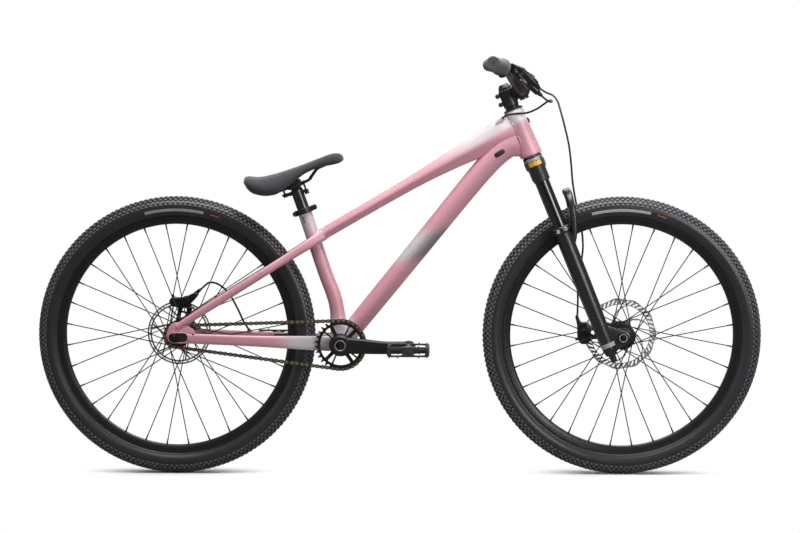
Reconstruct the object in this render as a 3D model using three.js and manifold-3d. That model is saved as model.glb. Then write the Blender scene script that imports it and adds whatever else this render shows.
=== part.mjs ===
// A dirt jump bike, in millimetres: +X is forward, +Y is the rider's left, +Z is up.
// The origin lies on the ground, midway between the two wheels.
import * as THREE from 'three';
import { mergeVertices } from 'three/addons/utils/BufferGeometryUtils.js';
import Module from 'manifold-3d';

const wasm = await Module();
wasm.setup();
const { Manifold, Mesh: SolidMesh } = wasm;

// Clearances and the length that every cut runs past its piece
const gap = 0.3;
const overrun = 2;
const boreEase = 0.4;

// Steps round the pieces
const wheelSides = 28;
const shaftSides = 12;
const frameSides = 10;
const smallSides = 8;
const spokeSides = 3;
const arcSteps = 6;

// Wheels
const wheelbase = 1111;
const tyreRadius = 347;
const tyreHalfWidth = 28;
const treadHalfWidth = 11;
const casingThickness = 3.2;
const beadRadius = 292.2;
const beadHalfWidth = 12.9;
const rimInnerRadius = 277.5;
const rimFlangeRadius = 297.5;
const rimHalfWidth = 15.5;
const rimFlangeThickness = 2.2;
const rimBedHalfWidth = 9;
const tubeFill = 0.6;
const rearValveTurn = 0;
const frontValveTurn = 123.75;
const valveRadius = 3;
const valveLength = 34;
const valveHoleRadius = 4;
const spokeCount = 32;
const spokesPerLean = 2;
const spokeRadius = 1;
const spokeCircleRadius = 29;
const crossAngle = 67.5;
const flangeRadius = 33;
const flangeThickness = 3.2;
const spokeEndOffset = 2;
const hubShellRadius = 15;
const hubShoulderRadius = 20;

// Hubs and axles
const rearAxleRadius = 5;
const rearHubEnd = 67.2;
const rearFlangeLeft = 30;
const rearFlangeRight = 24;
const rearAxleEnd = 86;
const axleNutRadius = 11;
const axleNutSides = 6;
const axleNutInner = 74.8;
const axleNutHeight = 9;
const frontAxleRadius = 10;
const axleHeadRadius = 14;
const axleHeadHeight = 4;
const frontHubEnd = 54.7;
const frontHubShoulder = 40;
const frontFlangeLeft = 25;
const frontFlangeRight = 34;
const hubEndRadius = 13;

// Brake rotors and calipers
const rearRotorRadius = 80;
const frontRotorRadius = 90;
const rearRotorOffset = 47;
const frontRotorOffset = 42;
const rotorThickness = 1.8;
const rotorTrackWidth = 15;
const rotorSeatRadius = 22;
const rotorArms = 5;
const rotorArmWidth = 7;
const caliperLength = 54;
const caliperHeight = 34;
const caliperHalfWidth = 18.5;
const padLength = 26;
const padHeight = 17;
const padThickness = 4.6;
const padRunningGap = 0.4;
const hosePortRadius = 5;
const hosePortLength = 34;
const rearCaliperAngle = 77.7;
const frontCaliperAngle = 156.9;
const rearPortTilt = 55;
const frontPortTilt = 20;
const caliperPostRadius = 6;
const rearPostLength = 40;
const frontPostLength = 30;

// Head tube and fork, measured along the steering axis
const headTilt = 22;
const forkLength = 501;
const forkOffset = 41.5;
const headTubeLength = 121;
const headTubeFootRadius = 28;
const headTubeTopRadius = 24.5;
const headBoreRadius = 18;
const lowerBearingRadius = 24.6;
const lowerBearingHeight = 9.5;
const upperBearingRadius = 21;
const upperBearingHeight = 8;
const steererRadius = 14.3;
const crownRaceRadius = 22;
const crownRaceHeight = 4;
const crownMiddle = 24;
const crownHalfHeight = 17;
const crownHalfThickness = 24;
const socketRadius = 21;
const socketTop = 10;
const socketFoot = 66;
const legSpacing = 65;
const stanchionRadius = 17;
const stanchionWall = 3;
const stanchionAboveAxle = 151;
const lowerLegAboveAxle = 312;
const lowerLegPastAxle = 28;
const sealRadius = 23;
const sealHeight = 13;
const lowerLegRadius = 20;
const lowerLegFootRadius = 17;
const boreAboveAxle = 31;
const footNutRadius = 8;
const footNutHeight = 22;
const archClearance = 46;
const archForward = 49;
const archRadius = 9.5;
const lugRadius = 18;
const lugInner = 55;
const lugOuter = 69;

// Headset, stem and handlebar
const coverRadius = 25;
const coverHeight = 4.6;
const spacerRadius = 17.5;
const spacerHeight = 5;
const stemHeight = 44;
const stemClampRadius = 19;
const stemReach = 36;
const stemBarRise = 162.5;
const stemBarRadius = 23;
const stemBarHalfWidth = 25;
const stemNeckHalfWidth = 17;
const stemNeckHalfHeight = 17;
const facePlateGap = 3;
const topCapHeight = 14;
const topCapTopRadius = 11;
const steererTop = 171;
const clampBoltRadius = 4.5;
const clampBoltHalfLength = 13;
const barCentreRadius = 15.9;
const barEndRadius = 11.1;
const barHalfWidth = 386;
const barRise = 85;
const barBack = 45;
const gripRadius = 16;
const gripLength = 132;
const gripFlangeRadius = 20;
const gripFlangeWidth = 4;

// Brake levers: distances forward of the bar, outward from the clamp and up
const leverInset = 160;
const rightLeverSlope = 43;
const leftLeverSlope = 33;
const leverRise = 10;
const masterRadius = 10;
const masterReach = 98;
const masterInset = 26;
const masterStart = 14;
const reservoirHalfWidth = 11;
const reservoirHeight = 9;
const leverClampWidth = 13;
const leverClampRadius = 17;
const leverPivotReach = 44;
const leverPivotOut = 12;
const leverHalfThickness = 4;
const leverEarThickness = 3;
const leverPinRadius = 2.5;
const leverSpan = 102;
const leverReach = 72;
const leverPortLength = 8.7;

// Frame: ahead is from the rear axle, back and rise are from a tube's front end or the head tube's foot
const chainstayReach = 411.5;
const bottomBracketDrop = 20.5;
const shellRadius = 24;
const shellHalfWidth = 34;
const shellBoreRadius = 17;
const seatLean = 19.5;
const collarAhead = 318.9;
const collarHeight = 657;
const seatTubeRadius = 17.3;
const seatTubeFootRadius = 20;
const seatBoreDepth = 142;
const seatTubeKneeAhead = 368.9;
const seatTubeKneeZ = 508.5;
const topTubeRearAhead = 361.5;
const topTubeRearZ = 597;
const topTubeFrontBack = 29.3;
const topTubeFrontRise = 70;
const topTubeHalfDepth = 15;
const topTubeHalfWidth = 16;
const downTubeFrontBack = 32.3;
const downTubeFrontRise = 33;
const downTubeHalfDepth = 23.5;
const downTubeHalfWidth = 22;
const downTubeBow = 20;
const frameWall = 3;
const ventRadius = 5;
const stayHalfHeight = 10;
const stayHalfWidth = 7;
const dropoutInner = 67.5;
const dropoutThickness = 7;
const dropoutLength = 70;
const dropoutHeight = 46;
const dropoutLead = 16;
const slotLength = 34;
const chainstayRearAhead = 27.5;
const chainstayRearZ = 344;
const chainstayHalfHeight = 12.5;
const chainstayFrontAhead = 405.5;
const seatstayRearAhead = 6.5;
const seatstayRearZ = 372;
const seatstayFrontAhead = 367.5;
const seatstayFrontZ = 598;
const stayRearSpacing = 70;
const portLength = 29;
const portWidth = 12;
const portBack = 51.8;
const portRise = 17.3;
const portLean = 16.7;
const portPlugThickness = 3;
const entryFrontBack = 61.6;
const entryFrontSide = 9;
const entryFrontRise = 29;
const entryMouthBack = 28.6;
const entryMouthSide = 13;
const entryMouthRise = 39.5;
const exitFootAhead = 185.5;
const exitFootSide = 55;
const exitFootZ = 336;
const exitMouthAhead = 175.5;
const exitMouthSide = 52;
const exitMouthZ = 354;

// Bottom bracket, cranks and pedals
const cupRadius = 21;
const cupWidth = 9;
const cupInsert = 14;
const spindleRadius = 12;
const spindleWall = 3;
const spindleEnd = 76;
const crankLength = 170;
const crankTilt = 1;
const crankBossRadius = 25;
const crankBossInner = 50.4;
const crankBossOuter = 75;
const crankOuter = 85;
const crankHalfHeight = 19.5;
const crankHalfThickness = 8;
const crankEndRadius = 16.5;
const pedalThreadRadius = 7;
const pedalInner = 100;
const pedalOuter = 195;
const pedalHalfLength = 50;
const pedalHalfThickness = 9;
const pedalAxleRadius = 6;
const pedalAxleInset = 8;
const pedalBarrelRadius = 11;
const pedalRailWidth = 9;

// Chain drive
const chainPitch = 12.7;
const chainringTeeth = 30;
const cogTeeth = 13;
const chainOffset = 48;
const chainHalfWidth = 3.9;
const chainHalfHeight = 4.3;
const chainWrapSteps = 6;
const sprocketThickness = 2.4;
const toothHeight = 2.2;
const toothDepth = 3.2;
const chainringHubRadius = 22;
const chainringRimWidth = 11;
const chainringArms = 4;
const driverRadius = 16.5;
const driverEnd = 56;

// Seatpost and saddle
const postRadius = 15.2;
const postInsert = 112;
const postHeadRise = 62;
const headBarrelRadius = 11;
const headBarrelHalfWidth = 14;
const headBoltFront = 21;
const headBoltRear = 33;
const headEarDrop = 13;
const headEarThickness = 5;
const headEarHalfWidth = 8;
const headBoltRadius = 3;
const headBoltLength = 22;
const headBoltHeadRadius = 6;
const saddleTilt = 20;
const collarRadius = 21.5;
const collarWidth = 13;
const collarSlot = 3;
const collarEarLength = 16;
const collarBoltBack = 24.8;
const collarEarHalfWidth = 9;
const collarBoltRadius = 3;
const collarBoltHeadRadius = 4.5;
const collarBoltHeadHeight = 4;
const railRadius = 3.5;
const railSpacing = 22;
const railHeight = 6;
const clampHalfLength = 15;
const clampHalfWidth = 28;
const clampTopThickness = 7;
const clampCheekDepth = 7;
const saddleLength = 247;
const saddleHalfWidth = 66;
const saddleBack = 116;
const saddleCrownHeight = 51;

// Hose
const hoseRadius = 2.5;
const frontHoseSteps = 28;
const rearHoseSteps = 18;
const caliperHoseSteps = 12;

// Where the sizes put the main points
const rearAxle = new THREE.Vector3(-wheelbase / 2, 0, tyreRadius);
const frontAxle = new THREE.Vector3(wheelbase / 2, 0, tyreRadius);
const fromRear = (ahead, side, height) => new THREE.Vector3(rearAxle.x + ahead, side, height);
const bottomBracket = fromRear(chainstayReach, 0, tyreRadius - bottomBracketDrop);
const headAngle = THREE.MathUtils.degToRad(headTilt);
const seatAngle = THREE.MathUtils.degToRad(seatLean);
const saddleAngle = THREE.MathUtils.degToRad(saddleTilt);
const steeringTurn = new THREE.Matrix4().makeRotationY(-headAngle);
const headFoot = frontAxle.clone().sub(
  new THREE.Vector3(forkOffset, 0, -forkLength).applyMatrix4(steeringTurn)
);
const steeringPlace = steeringTurn.clone().setPosition(headFoot);
const fromHead = (back, side, rise) => new THREE.Vector3(headFoot.x - back, side, headFoot.z + rise);
const topTubeRear = fromRear(topTubeRearAhead, 0, topTubeRearZ);
const topTubeFront = fromHead(topTubeFrontBack, 0, topTubeFrontRise);
const downTubeFront = fromHead(downTubeFrontBack, 0, downTubeFrontRise);
const fromTubeEnd = (end, run, back, side, rise) => end.clone().addScaledVector(run, back).add(
  new THREE.Vector3(run.z * rise, side, -run.x * rise)
);
const topTubeRun = topTubeRear.clone().sub(topTubeFront).normalize();
const downTubeRun = bottomBracket.clone().sub(downTubeFront).normalize();
const port = fromTubeEnd(downTubeFront, downTubeRun, portBack, 0, portRise);
const portTurn = Math.atan2(-downTubeRun.z, -downTubeRun.x) - THREE.MathUtils.degToRad(portLean);
const collarCentre = fromRear(collarAhead, 0, collarHeight);
const seatTurn = new THREE.Matrix4().makeRotationY(-seatAngle);
const seatPlace = seatTurn.clone().setPosition(collarCentre);
const spokeTurn = (2 * Math.PI) / spokeCount;
const stanchionFoot = forkLength - stanchionAboveAxle;
const lowerLegTop = forkLength - lowerLegAboveAxle;
const lowerLegFoot = forkLength + lowerLegPastAxle;
const archRise = forkLength - tyreRadius - archClearance;
const leverPlace = barHalfWidth - leverInset;
const cogBoreRadius = (driverRadius + gap) / Math.cos(Math.PI / shaftSides);

// Turns a three.js geometry into a solid whose faces point out.
function solid(geometry) {
  const bare = new THREE.BufferGeometry();
  bare.setAttribute('position', geometry.getAttribute('position'));
  if (geometry.index) bare.setIndex(geometry.index);
  const merged = mergeVertices(bare);
  const places = merged.getAttribute('position').array;
  const corners = merged.index.array;
  const faces = [];
  let volume = 0;
  for (let i = 0; i < corners.length; i += 3) {
    const [a, b, c] = corners.slice(i, i + 3);
    if (a === b || b === c || c === a) continue;
    faces.push(a, b, c);
    const [p, q, r] = [a, b, c].map((v) => new THREE.Vector3().fromArray(places, 3 * v));
    volume += p.dot(q.cross(r));
  }
  const triVerts = new Uint32Array(volume < 0 ? faces.reverse() : faces);
  return new Manifold(new SolidMesh({ numProp: 3, vertProperties: places, triVerts }));
}

const moved = (piece, matrix) => piece.transform(matrix.elements);
const mirrored = (piece) => piece.mirror([0, 1, 0]);
const join = (...pieces) => Manifold.union(pieces);
const cut = (piece, ...tools) => Manifold.difference([piece, ...tools]);
const vector = (x, y, z) => new THREE.Vector3(x, y, z);
const shift = (x, y, z) => new THREE.Matrix4().makeTranslation(x, y, z);
const mix = (low, high, share) => low + (high - low) * share;
// A faceted bore whose flats still clear a shaft that turns in it.
const runningBore = (radius) => (radius + gap) / Math.cos(Math.PI / shaftSides);

// A solid turned about the Y axis from [radius, height] points that start and end on the axis.
function turned(profile, sides = shaftSides) {
  const points = profile.map(([radius, height]) => new THREE.Vector2(radius, height));
  return solid(new THREE.LatheGeometry(points, sides, Math.PI / sides));
}

const ring = (profile, sides = shaftSides) => turned([...profile, profile[0]], sides);

// The matrix that lays the Y axis along the line between two points.
function between(from, to) {
  const turn = new THREE.Quaternion();
  turn.setFromUnitVectors(vector(0, 1, 0), to.clone().sub(from).normalize());
  return new THREE.Matrix4().makeRotationFromQuaternion(turn).setPosition(from);
}

function rod(from, to, radius, sides = shaftSides, endRadius = radius) {
  const length = from.distanceTo(to);
  const shape = turned([[0, 0], [radius, 0], [endRadius, length], [0, length]], sides);
  return moved(shape, between(from, to));
}

function sleeve(from, to, outer, inner, sides = shaftSides) {
  const length = from.distanceTo(to);
  const shape = ring([[inner, 0], [outer, 0], [outer, length], [inner, length]], sides);
  return moved(shape, between(from, to));
}

// An outline in X and Z, given thickness along Y.
function plate(shape, low, high, steps = arcSteps) {
  const options = { depth: high - low, bevelEnabled: false, curveSegments: steps };
  const geometry = new THREE.ExtrudeGeometry(shape, options);
  geometry.rotateX(Math.PI / 2);
  geometry.translate(0, high, 0);
  return solid(geometry);
}

const outline = (points) => new THREE.Shape(points.map(([x, z]) => new THREE.Vector2(x, z)));

function block(low, high) {
  const corners = [[low.x, low.z], [high.x, low.z], [high.x, high.z], [low.x, high.z]];
  return plate(outline(corners), low.y, high.y);
}

// Two round ends joined by straight sides, in X and Z.
function link(x1, z1, r1, x2, z2, r2) {
  const heading = Math.atan2(z2 - z1, x2 - x1);
  const lean = Math.acos((r1 - r2) / Math.hypot(x2 - x1, z2 - z1));
  const shape = new THREE.Shape();
  shape.absarc(x1, z1, r1, heading + lean, heading - lean + 2 * Math.PI, false);
  shape.absarc(x2, z2, r2, heading - lean, heading + lean, false);
  return shape;
}

// A solid skinned over rings of [place, half width across, half height], smoothed in between.
function loft(stations, sides, across, stepsBetween = 1) {
  const path = new THREE.CatmullRomCurve3(stations.map((s) => s[0]), false, 'centripetal');
  const sizes = new THREE.CatmullRomCurve3(stations.map((s) => vector(s[1], s[2], 0)));
  const last = (stations.length - 1) * stepsBetween;
  const positions = [];
  for (let k = 0; k <= last; k++) {
    const centre = path.getPoint(k / last);
    const size = sizes.getPoint(k / last);
    const ahead = path.getTangent(k / last);
    const side = across.clone().addScaledVector(ahead, -across.dot(ahead)).normalize();
    const up = ahead.clone().cross(side);
    for (let j = 0; j < sides; j++) {
      const turn = (2 * Math.PI * (j + 0.5)) / sides;
      const point = centre.clone().addScaledVector(side, size.x * Math.cos(turn));
      positions.push(...point.addScaledVector(up, size.y * Math.sin(turn)).toArray());
    }
  }
  return skin(positions, last + 1, sides);
}

// Joins rings of points into a closed solid with flat ends.
function skin(positions, rings, sides) {
  const faces = [];
  for (let k = 0; k + 1 < rings; k++) {
    for (let j = 0; j < sides; j++) {
      const here = k * sides + j;
      const next = k * sides + ((j + 1) % sides);
      faces.push(here, next, next + sides, here, next + sides, here + sides);
    }
  }
  const lastRing = (rings - 1) * sides;
  for (let j = 1; j + 1 < sides; j++) {
    faces.push(0, j + 1, j, lastRing, lastRing + j, lastRing + j + 1);
  }
  const geometry = new THREE.BufferGeometry();
  geometry.setAttribute('position', new THREE.Float32BufferAttribute(positions, 3));
  geometry.setIndex(faces);
  return solid(geometry);
}

function hose(route, steps, radius = hoseRadius) {
  const section = new THREE.Shape();
  for (let j = 0; j < smallSides; j++) {
    const turn = (2 * Math.PI * j) / smallSides;
    const corner = [radius * Math.cos(turn), radius * Math.sin(turn)];
    if (j) section.lineTo(...corner);
    else section.moveTo(...corner);
  }
  const extrudePath = new THREE.CatmullRomCurve3(route.map((point) => vector(...point)));
  return solid(new THREE.ExtrudeGeometry(section, { steps, bevelEnabled: false, extrudePath }));
}

const across = vector(0, 1, 0);
const forward = vector(1, 0, 0);
const cylinderY = (x, z, low, high, radius, sides = shaftSides) =>
  rod(vector(x, low, z), vector(x, high, z), radius, sides);

// Finishes, as the photograph shows them
const finish = (color, roughness, metalness) =>
  new THREE.MeshStandardMaterial({ color, roughness, metalness });
const pinkPaint = finish(0xd9a0b0, 0.45, 0.1);
const blackRubber = finish(0x1b1b1d, 0.9, 0);
const blackAlloy = finish(0x17181a, 0.45, 0.6);
const blackPlastic = finish(0x1d1e20, 0.6, 0);
const steel = finish(0x9fa1a5, 0.35, 0.9);
const darkSteel = finish(0x4a443e, 0.45, 0.8);
const charcoal = finish(0x2e3338, 0.5, 0.3);
const textile = finish(0x303236, 0.95, 0);
const lightGrey = finish(0xb9bcc0, 0.4, 0.5);

// Adds a solid to a group as a named mesh.
function add(group, name, piece, look) {
  const { vertProperties, triVerts } = piece.getMesh();
  const geometry = new THREE.BufferGeometry();
  geometry.setAttribute('position', new THREE.BufferAttribute(vertProperties, 3));
  geometry.setIndex(new THREE.BufferAttribute(triVerts, 1));
  geometry.computeVertexNormals();
  const mesh = new THREE.Mesh(geometry, look.clone());
  mesh.name = name;
  group.add(mesh);
  return mesh;
}

// Tyre: a casing open towards the rim, flat across its tread.
function tyre() {
  const crown = tyreRadius / Math.cos(Math.PI / wheelSides);
  const depth = crown - beadRadius;
  const outside = [
    [beadRadius, beadHalfWidth],
    [rimFlangeRadius + gap, beadHalfWidth],
    [beadRadius + depth * 0.4, tyreHalfWidth],
    [beadRadius + depth * 0.74, mix(treadHalfWidth, tyreHalfWidth, 0.8)],
    [crown, treadHalfWidth],
  ];
  const middle = [beadRadius + depth * 0.5, tyreHalfWidth - casingThickness];
  const foot = [beadRadius, beadHalfWidth - casingThickness];
  const opposite = ([radius, side]) => [radius, -side];
  return ring([
    ...outside.map(opposite), ...outside.reverse(), foot, middle, [crown - casingThickness, 0],
    opposite(middle), opposite(foot),
  ], wheelSides);
}

// Inner tube with its valve, which passes through the rim.
function innerTube(valveAngle) {
  const crown = tyreRadius / Math.cos(Math.PI / wheelSides) - casingThickness - gap;
  const floor = beadRadius + tubeFill * casingThickness;
  const middle = (crown + floor) / 2;
  const halfWidth = (tyreHalfWidth - casingThickness) * 0.72;
  const section = [[floor, 0], [middle, -halfWidth], [crown, 0], [middle, halfWidth]];
  const outward = vector(Math.cos(valveAngle), 0, Math.sin(valveAngle));
  const valve = rod(
    outward.clone().multiplyScalar(middle),
    outward.clone().multiplyScalar(rimInnerRadius - valveLength),
    valveRadius,
    smallSides
  );
  return join(ring(section, wheelSides), valve);
}

// Rim with a flange on each side of the tyre's seat.
function rim(valveAngle) {
  const flangeInner = rimHalfWidth - rimFlangeThickness;
  const seat = beadRadius - gap;
  const half = [
    [rimInnerRadius, rimBedHalfWidth],
    [rimFlangeRadius, rimHalfWidth],
    [rimFlangeRadius, flangeInner],
    [seat, flangeInner],
  ];
  const other = half.map(([radius, side]) => [radius, -side]).reverse();
  const outward = vector(Math.cos(valveAngle), 0, Math.sin(valveAngle));
  const hole = rod(
    outward.clone().multiplyScalar(rimFlangeRadius),
    outward.clone().multiplyScalar(rimInnerRadius - overrun),
    valveHoleRadius,
    smallSides
  );
  return cut(ring([...half, ...other], wheelSides), hole);
}

// One spoke from its flange to the rim.
function spoke(index, flangeLeft, flangeRight) {
  const angle = (index + 0.5) * spokeTurn;
  const lean = Math.floor(index / spokesPerLean) % 2 ? 1 : -1;
  const left = index % 2 === 0;
  const inside = left ? flangeLeft : -flangeRight;
  const hubAngle = angle + lean * THREE.MathUtils.degToRad(crossAngle);
  const hubSide = inside + lean * flangeThickness * 0.5;
  const start = vector(
    spokeCircleRadius * Math.cos(hubAngle), hubSide, spokeCircleRadius * Math.sin(hubAngle)
  );
  const reach = rimInnerRadius * Math.cos(Math.PI / wheelSides) - 2 * gap;
  const rimSide = left ? spokeEndOffset : -spokeEndOffset;
  const end = vector(reach * Math.cos(angle), rimSide, reach * Math.sin(angle));
  return rod(start, end, spokeRadius, spokeSides);
}

// Hub shell, flanges and spokes of one wheel, with the brake seat on its left.
function hubAndSpokes(hub) {
  const half = flangeThickness / 2;
  const profile = [
    [hub.bore, hub.leftEnd],
    [hubEndRadius, hub.leftEnd],
    [hubEndRadius, hub.rotor + rotorThickness],
    [rotorSeatRadius - gap, hub.rotor + rotorThickness],
    [rotorSeatRadius - gap, hub.rotor - gap],
    [rotorSeatRadius + rotorArmWidth, hub.rotor - gap],
    [hubShoulderRadius, hub.flangeLeft + half],
    [flangeRadius, hub.flangeLeft + half],
    [flangeRadius, hub.flangeLeft - half],
    [hubShellRadius, hub.flangeLeft - half * 4],
    [hubShellRadius, half * 4 - hub.flangeRight],
    [flangeRadius, half - hub.flangeRight],
    [flangeRadius, -hub.flangeRight - half],
    [hub.driver, -hub.flangeRight - half],
    [hub.driver, -hub.driverEnd],
    [hubEndRadius, -hub.driverEnd],
    [hubEndRadius, -hub.rightEnd],
    [hub.bore, -hub.rightEnd],
  ];
  const spokes = [];
  for (let k = 0; k < spokeCount; k++) spokes.push(spoke(k, hub.flangeLeft, hub.flangeRight));
  return join(ring(profile), ...spokes);
}

// Brake rotor: a track on swept arms round the seat on the hub.
function rotor(radius, offset) {
  const inner = radius - rotorTrackWidth;
  const seatOuter = rotorSeatRadius + rotorArmWidth;
  const track = ringPlate(radius, inner, offset, wheelSides);
  const seat = ringPlate(seatOuter, rotorSeatRadius, offset);
  const arms = [];
  for (let k = 0; k < rotorArms; k++) {
    const turn = (2 * Math.PI * k) / rotorArms;
    const swept = turn + Math.PI / rotorArms;
    const from = seatOuter - rotorArmWidth / 2;
    const to = inner + rotorArmWidth / 2;
    const arm = link(
      from * Math.cos(turn), from * Math.sin(turn), rotorArmWidth / 2,
      to * Math.cos(swept), to * Math.sin(swept), rotorArmWidth / 2.1
    );
    arms.push(plate(arm, offset, offset + rotorThickness, 1));
  }
  return join(track, seat, ...arms);
}

function ringPlate(outer, inner, offset, sides = shaftSides) {
  return ring([
    [inner, offset], [outer, offset], [outer, offset + rotorThickness], [inner, offset + rotorThickness],
  ], sides);
}

// A caliper over a rotor: X runs along the track, Y across the rotor, Z away from the axle.
function caliper(portTilt) {
  const halfLength = caliperLength / 2;
  const halfHeight = caliperHeight / 2;
  const shape = outline([
    [-halfLength, -halfHeight * 0.3], [-halfLength * 0.62, -halfHeight], [halfLength * 0.62, -halfHeight],
    [halfLength, -halfHeight * 0.3], [halfLength, halfHeight * 0.4], [halfLength * 0.6, halfHeight],
    [-halfLength * 0.6, halfHeight], [-halfLength, halfHeight * 0.4],
  ]);
  const padRoom = padRunningGap + rotorThickness / 2 + padThickness + gap;
  const pocket = block(
    vector(-padLength / 2 - gap, -padRoom, -halfHeight - overrun),
    vector(padLength / 2 + gap, padRoom, padHeight - halfHeight + gap)
  );
  const throat = padRunningGap + rotorThickness / 2 + gap;
  const slot = block(
    vector(-halfLength - overrun, -throat, -halfHeight - overrun),
    vector(halfLength + overrun, throat, padHeight - halfHeight + gap)
  );
  const body = plate(shape, -caliperHalfWidth, caliperHalfWidth);
  const port = rod(portLine(portTilt, 0), portLine(portTilt, hosePortLength), hosePortRadius, smallSides);
  return join(cut(body, pocket, slot), port);
}

// A point along a caliper's hose port, which leans by its tilt.
function portLine(portTilt, distance) {
  const tilt = THREE.MathUtils.degToRad(portTilt);
  return vector(
    caliperLength * 0.15 + distance * Math.cos(tilt),
    caliperHalfWidth / 2,
    caliperHeight * 0.22 + distance * Math.sin(tilt)
  );
}

function brakePad(side) {
  const near = padRunningGap + rotorThickness / 2;
  const [low, high] = side > 0 ? [near, near + padThickness] : [-near - padThickness, -near];
  const foot = gap - caliperHeight / 2;
  return block(vector(-padLength / 2, low, foot), vector(padLength / 2, high, foot + padHeight - gap));
}

// Where a caliper sits over its rotor: its own Z points away from the axle.
function caliperPlace(axle, offset, rotorRadius, angle) {
  const turn = THREE.MathUtils.degToRad(angle);
  const radius = rotorRadius - rotorTrackWidth / 2 + padHeight / 2;
  const matrix = new THREE.Matrix4().makeRotationY(Math.PI / 2 - turn);
  return matrix.setPosition(axle.clone().add(
    vector(radius * Math.cos(turn), offset + rotorThickness / 2, radius * Math.sin(turn))
  ));
}

const rearCaliperPlace = caliperPlace(rearAxle, rearRotorOffset, rearRotorRadius, rearCaliperAngle);
const forkAxle = vector(forkOffset, 0, -forkLength);
const frontCaliperPlace = caliperPlace(forkAxle, frontRotorOffset, frontRotorRadius, frontCaliperAngle);

// Two posts that carry a caliper, from just under it towards the axle.
function caliperPosts(place, length) {
  const side = caliperHalfWidth * 0.8;
  const foot = -caliperHeight / 2 - gap;
  return [-1, 1].map((end) => {
    const along = end * caliperLength * 0.21;
    const post = rod(
      vector(along, side, foot), vector(along, side, foot - length), caliperPostRadius, smallSides
    );
    return moved(post, place);
  });
}

// Frame tubes as shares: how far along, how far off the line, half width and half depth.
const topTubeShares = [
  [-0.04, -0.03, 0.94, 1], [0, 0, 0.94, 0.97], [0.41, 0.2, 1.06, 1.05], [0.62, 0.28, 1.25, 1.4],
  [0.79, 0.24, 1.44, 1.9], [0.92, 0.1, 1.5, 2.55], [1, 0, 1.2, 2],
];
const downTubeShares = [
  [0, 0, 0.95, 0.9], [0.08, 0.12, 1, 1], [0.42, 0.54, 1.09, 1.06], [0.8, 1.03, 1.14, 1.13],
  [0.945, 0.86, 1.14, 1.28], [1, 0, 1, 1.5],
];
const seatTubeShares = [[0, 0, 1], [0.33, -0.055, 0.95], [0.65, -0.05, 0.92], [1, 0, 0.87]];
const chainstayShares = [
  [0, 1, 1, 1], [0.127, 0.943, 1.07, 1], [0.471, 0.771, 1.14, 1.08], [0.749, 0.564, 0.93, 1.36],
  [0.854, 0.486, 0.86, 1.44], [1, 0.314, 1.1, 1.52],
];
const seatstayShares = [
  [0, 1, 1, 0.8], [0.2, 0.95, 1, 1], [0.56, 0.743, 1.14, 1], [0.75, 0.52, 1.14, 1.05],
  [0.888, 0.371, 1.14, 1.2], [1, 0.17, 1.14, 1.4],
];
const dropoutShares = [
  [-0.5, 0.04], [-0.36, -0.37], [-0.03, -0.5], [0.43, -0.33], [0.5, 0.16], [0.2, 0.5], [-0.36, 0.5],
];

// A straight frame tube between two points in the middle plane, from its table of shares.
function frameTube(from, to, shares, halfWidth, halfDepth, bow, thinner = 0) {
  const run = to.clone().sub(from);
  const rise = vector(-run.z, 0, run.x).normalize();
  return loft(shares.map(([along, off, width, depth]) => [
    from.clone().addScaledVector(run, along).addScaledVector(rise, off * bow),
    halfWidth * width - thinner,
    halfDepth * depth - thinner,
  ]), frameSides, across);
}

function stay(rear, front, shares, halfHeight) {
  return loft(shares.map(([along, out, width, height]) => [
    vector(mix(rear.x, front.x, along), stayRearSpacing * out, mix(rear.z, front.z, along)),
    stayHalfWidth * width,
    halfHeight * height,
  ]), smallSides, across);
}

function seatTube() {
  const knee = fromRear(seatTubeKneeAhead, 0, seatTubeKneeZ);
  const run = knee.clone().sub(bottomBracket);
  const aside = vector(run.z, 0, -run.x);
  const foot = seatTubeShares.map(([along, off, size]) => [
    bottomBracket.clone().addScaledVector(run, along).addScaledVector(aside, -off),
    seatTubeFootRadius * size,
    seatTubeFootRadius * size,
  ]);
  const top = [-2 * collarWidth, collarWidth / 2].map((height) =>
    [headHeight(height).applyMatrix4(seatPlace), seatTubeRadius, seatTubeRadius]);
  return loft([...foot, ...top], shaftSides, across);
}

// The slotted plate that holds one end of the rear axle.
function dropout() {
  const centreX = rearAxle.x + dropoutLead;
  const centreZ = rearAxle.z + dropoutHeight * 0.15;
  const edge = dropoutShares.map(([x, z]) => [centreX + dropoutLength * x, centreZ + dropoutHeight * z]);
  const slotRadius = rearAxleRadius + gap;
  const slot = link(
    rearAxle.x, rearAxle.z, slotRadius,
    rearAxle.x + slotLength - 2 * slotRadius, rearAxle.z, slotRadius * 0.99
  );
  const outer = dropoutInner + dropoutThickness;
  return cut(
    plate(outline(edge), dropoutInner, outer),
    plate(slot, dropoutInner - overrun, outer + overrun, arcSteps / 2)
  );
}

const headHeight = (height) => vector(0, 0, height);
const portFloor = downTubeHalfWidth * 1.05;

function portShape(extra) {
  const half = (portLength - portWidth) / 2;
  const [dx, dz] = [half * Math.cos(portTurn), half * Math.sin(portTurn)];
  const radius = portWidth / 2 + extra;
  return link(port.x - dx, port.z - dz, radius, port.x + dx, port.z + dz, radius * 0.99);
}

// Bosses where the rear brake hose goes into the top tube and comes out of the chainstay.
const frontEntry = [
  fromTubeEnd(topTubeFront, topTubeRun, entryFrontBack, -entryFrontSide, entryFrontRise),
  fromTubeEnd(topTubeFront, topTubeRun, entryMouthBack, -entryMouthSide, entryMouthRise),
];
const rearEntry = [
  fromRear(exitFootAhead, exitFootSide, exitFootZ), fromRear(exitMouthAhead, exitMouthSide, exitMouthZ),
];

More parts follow.
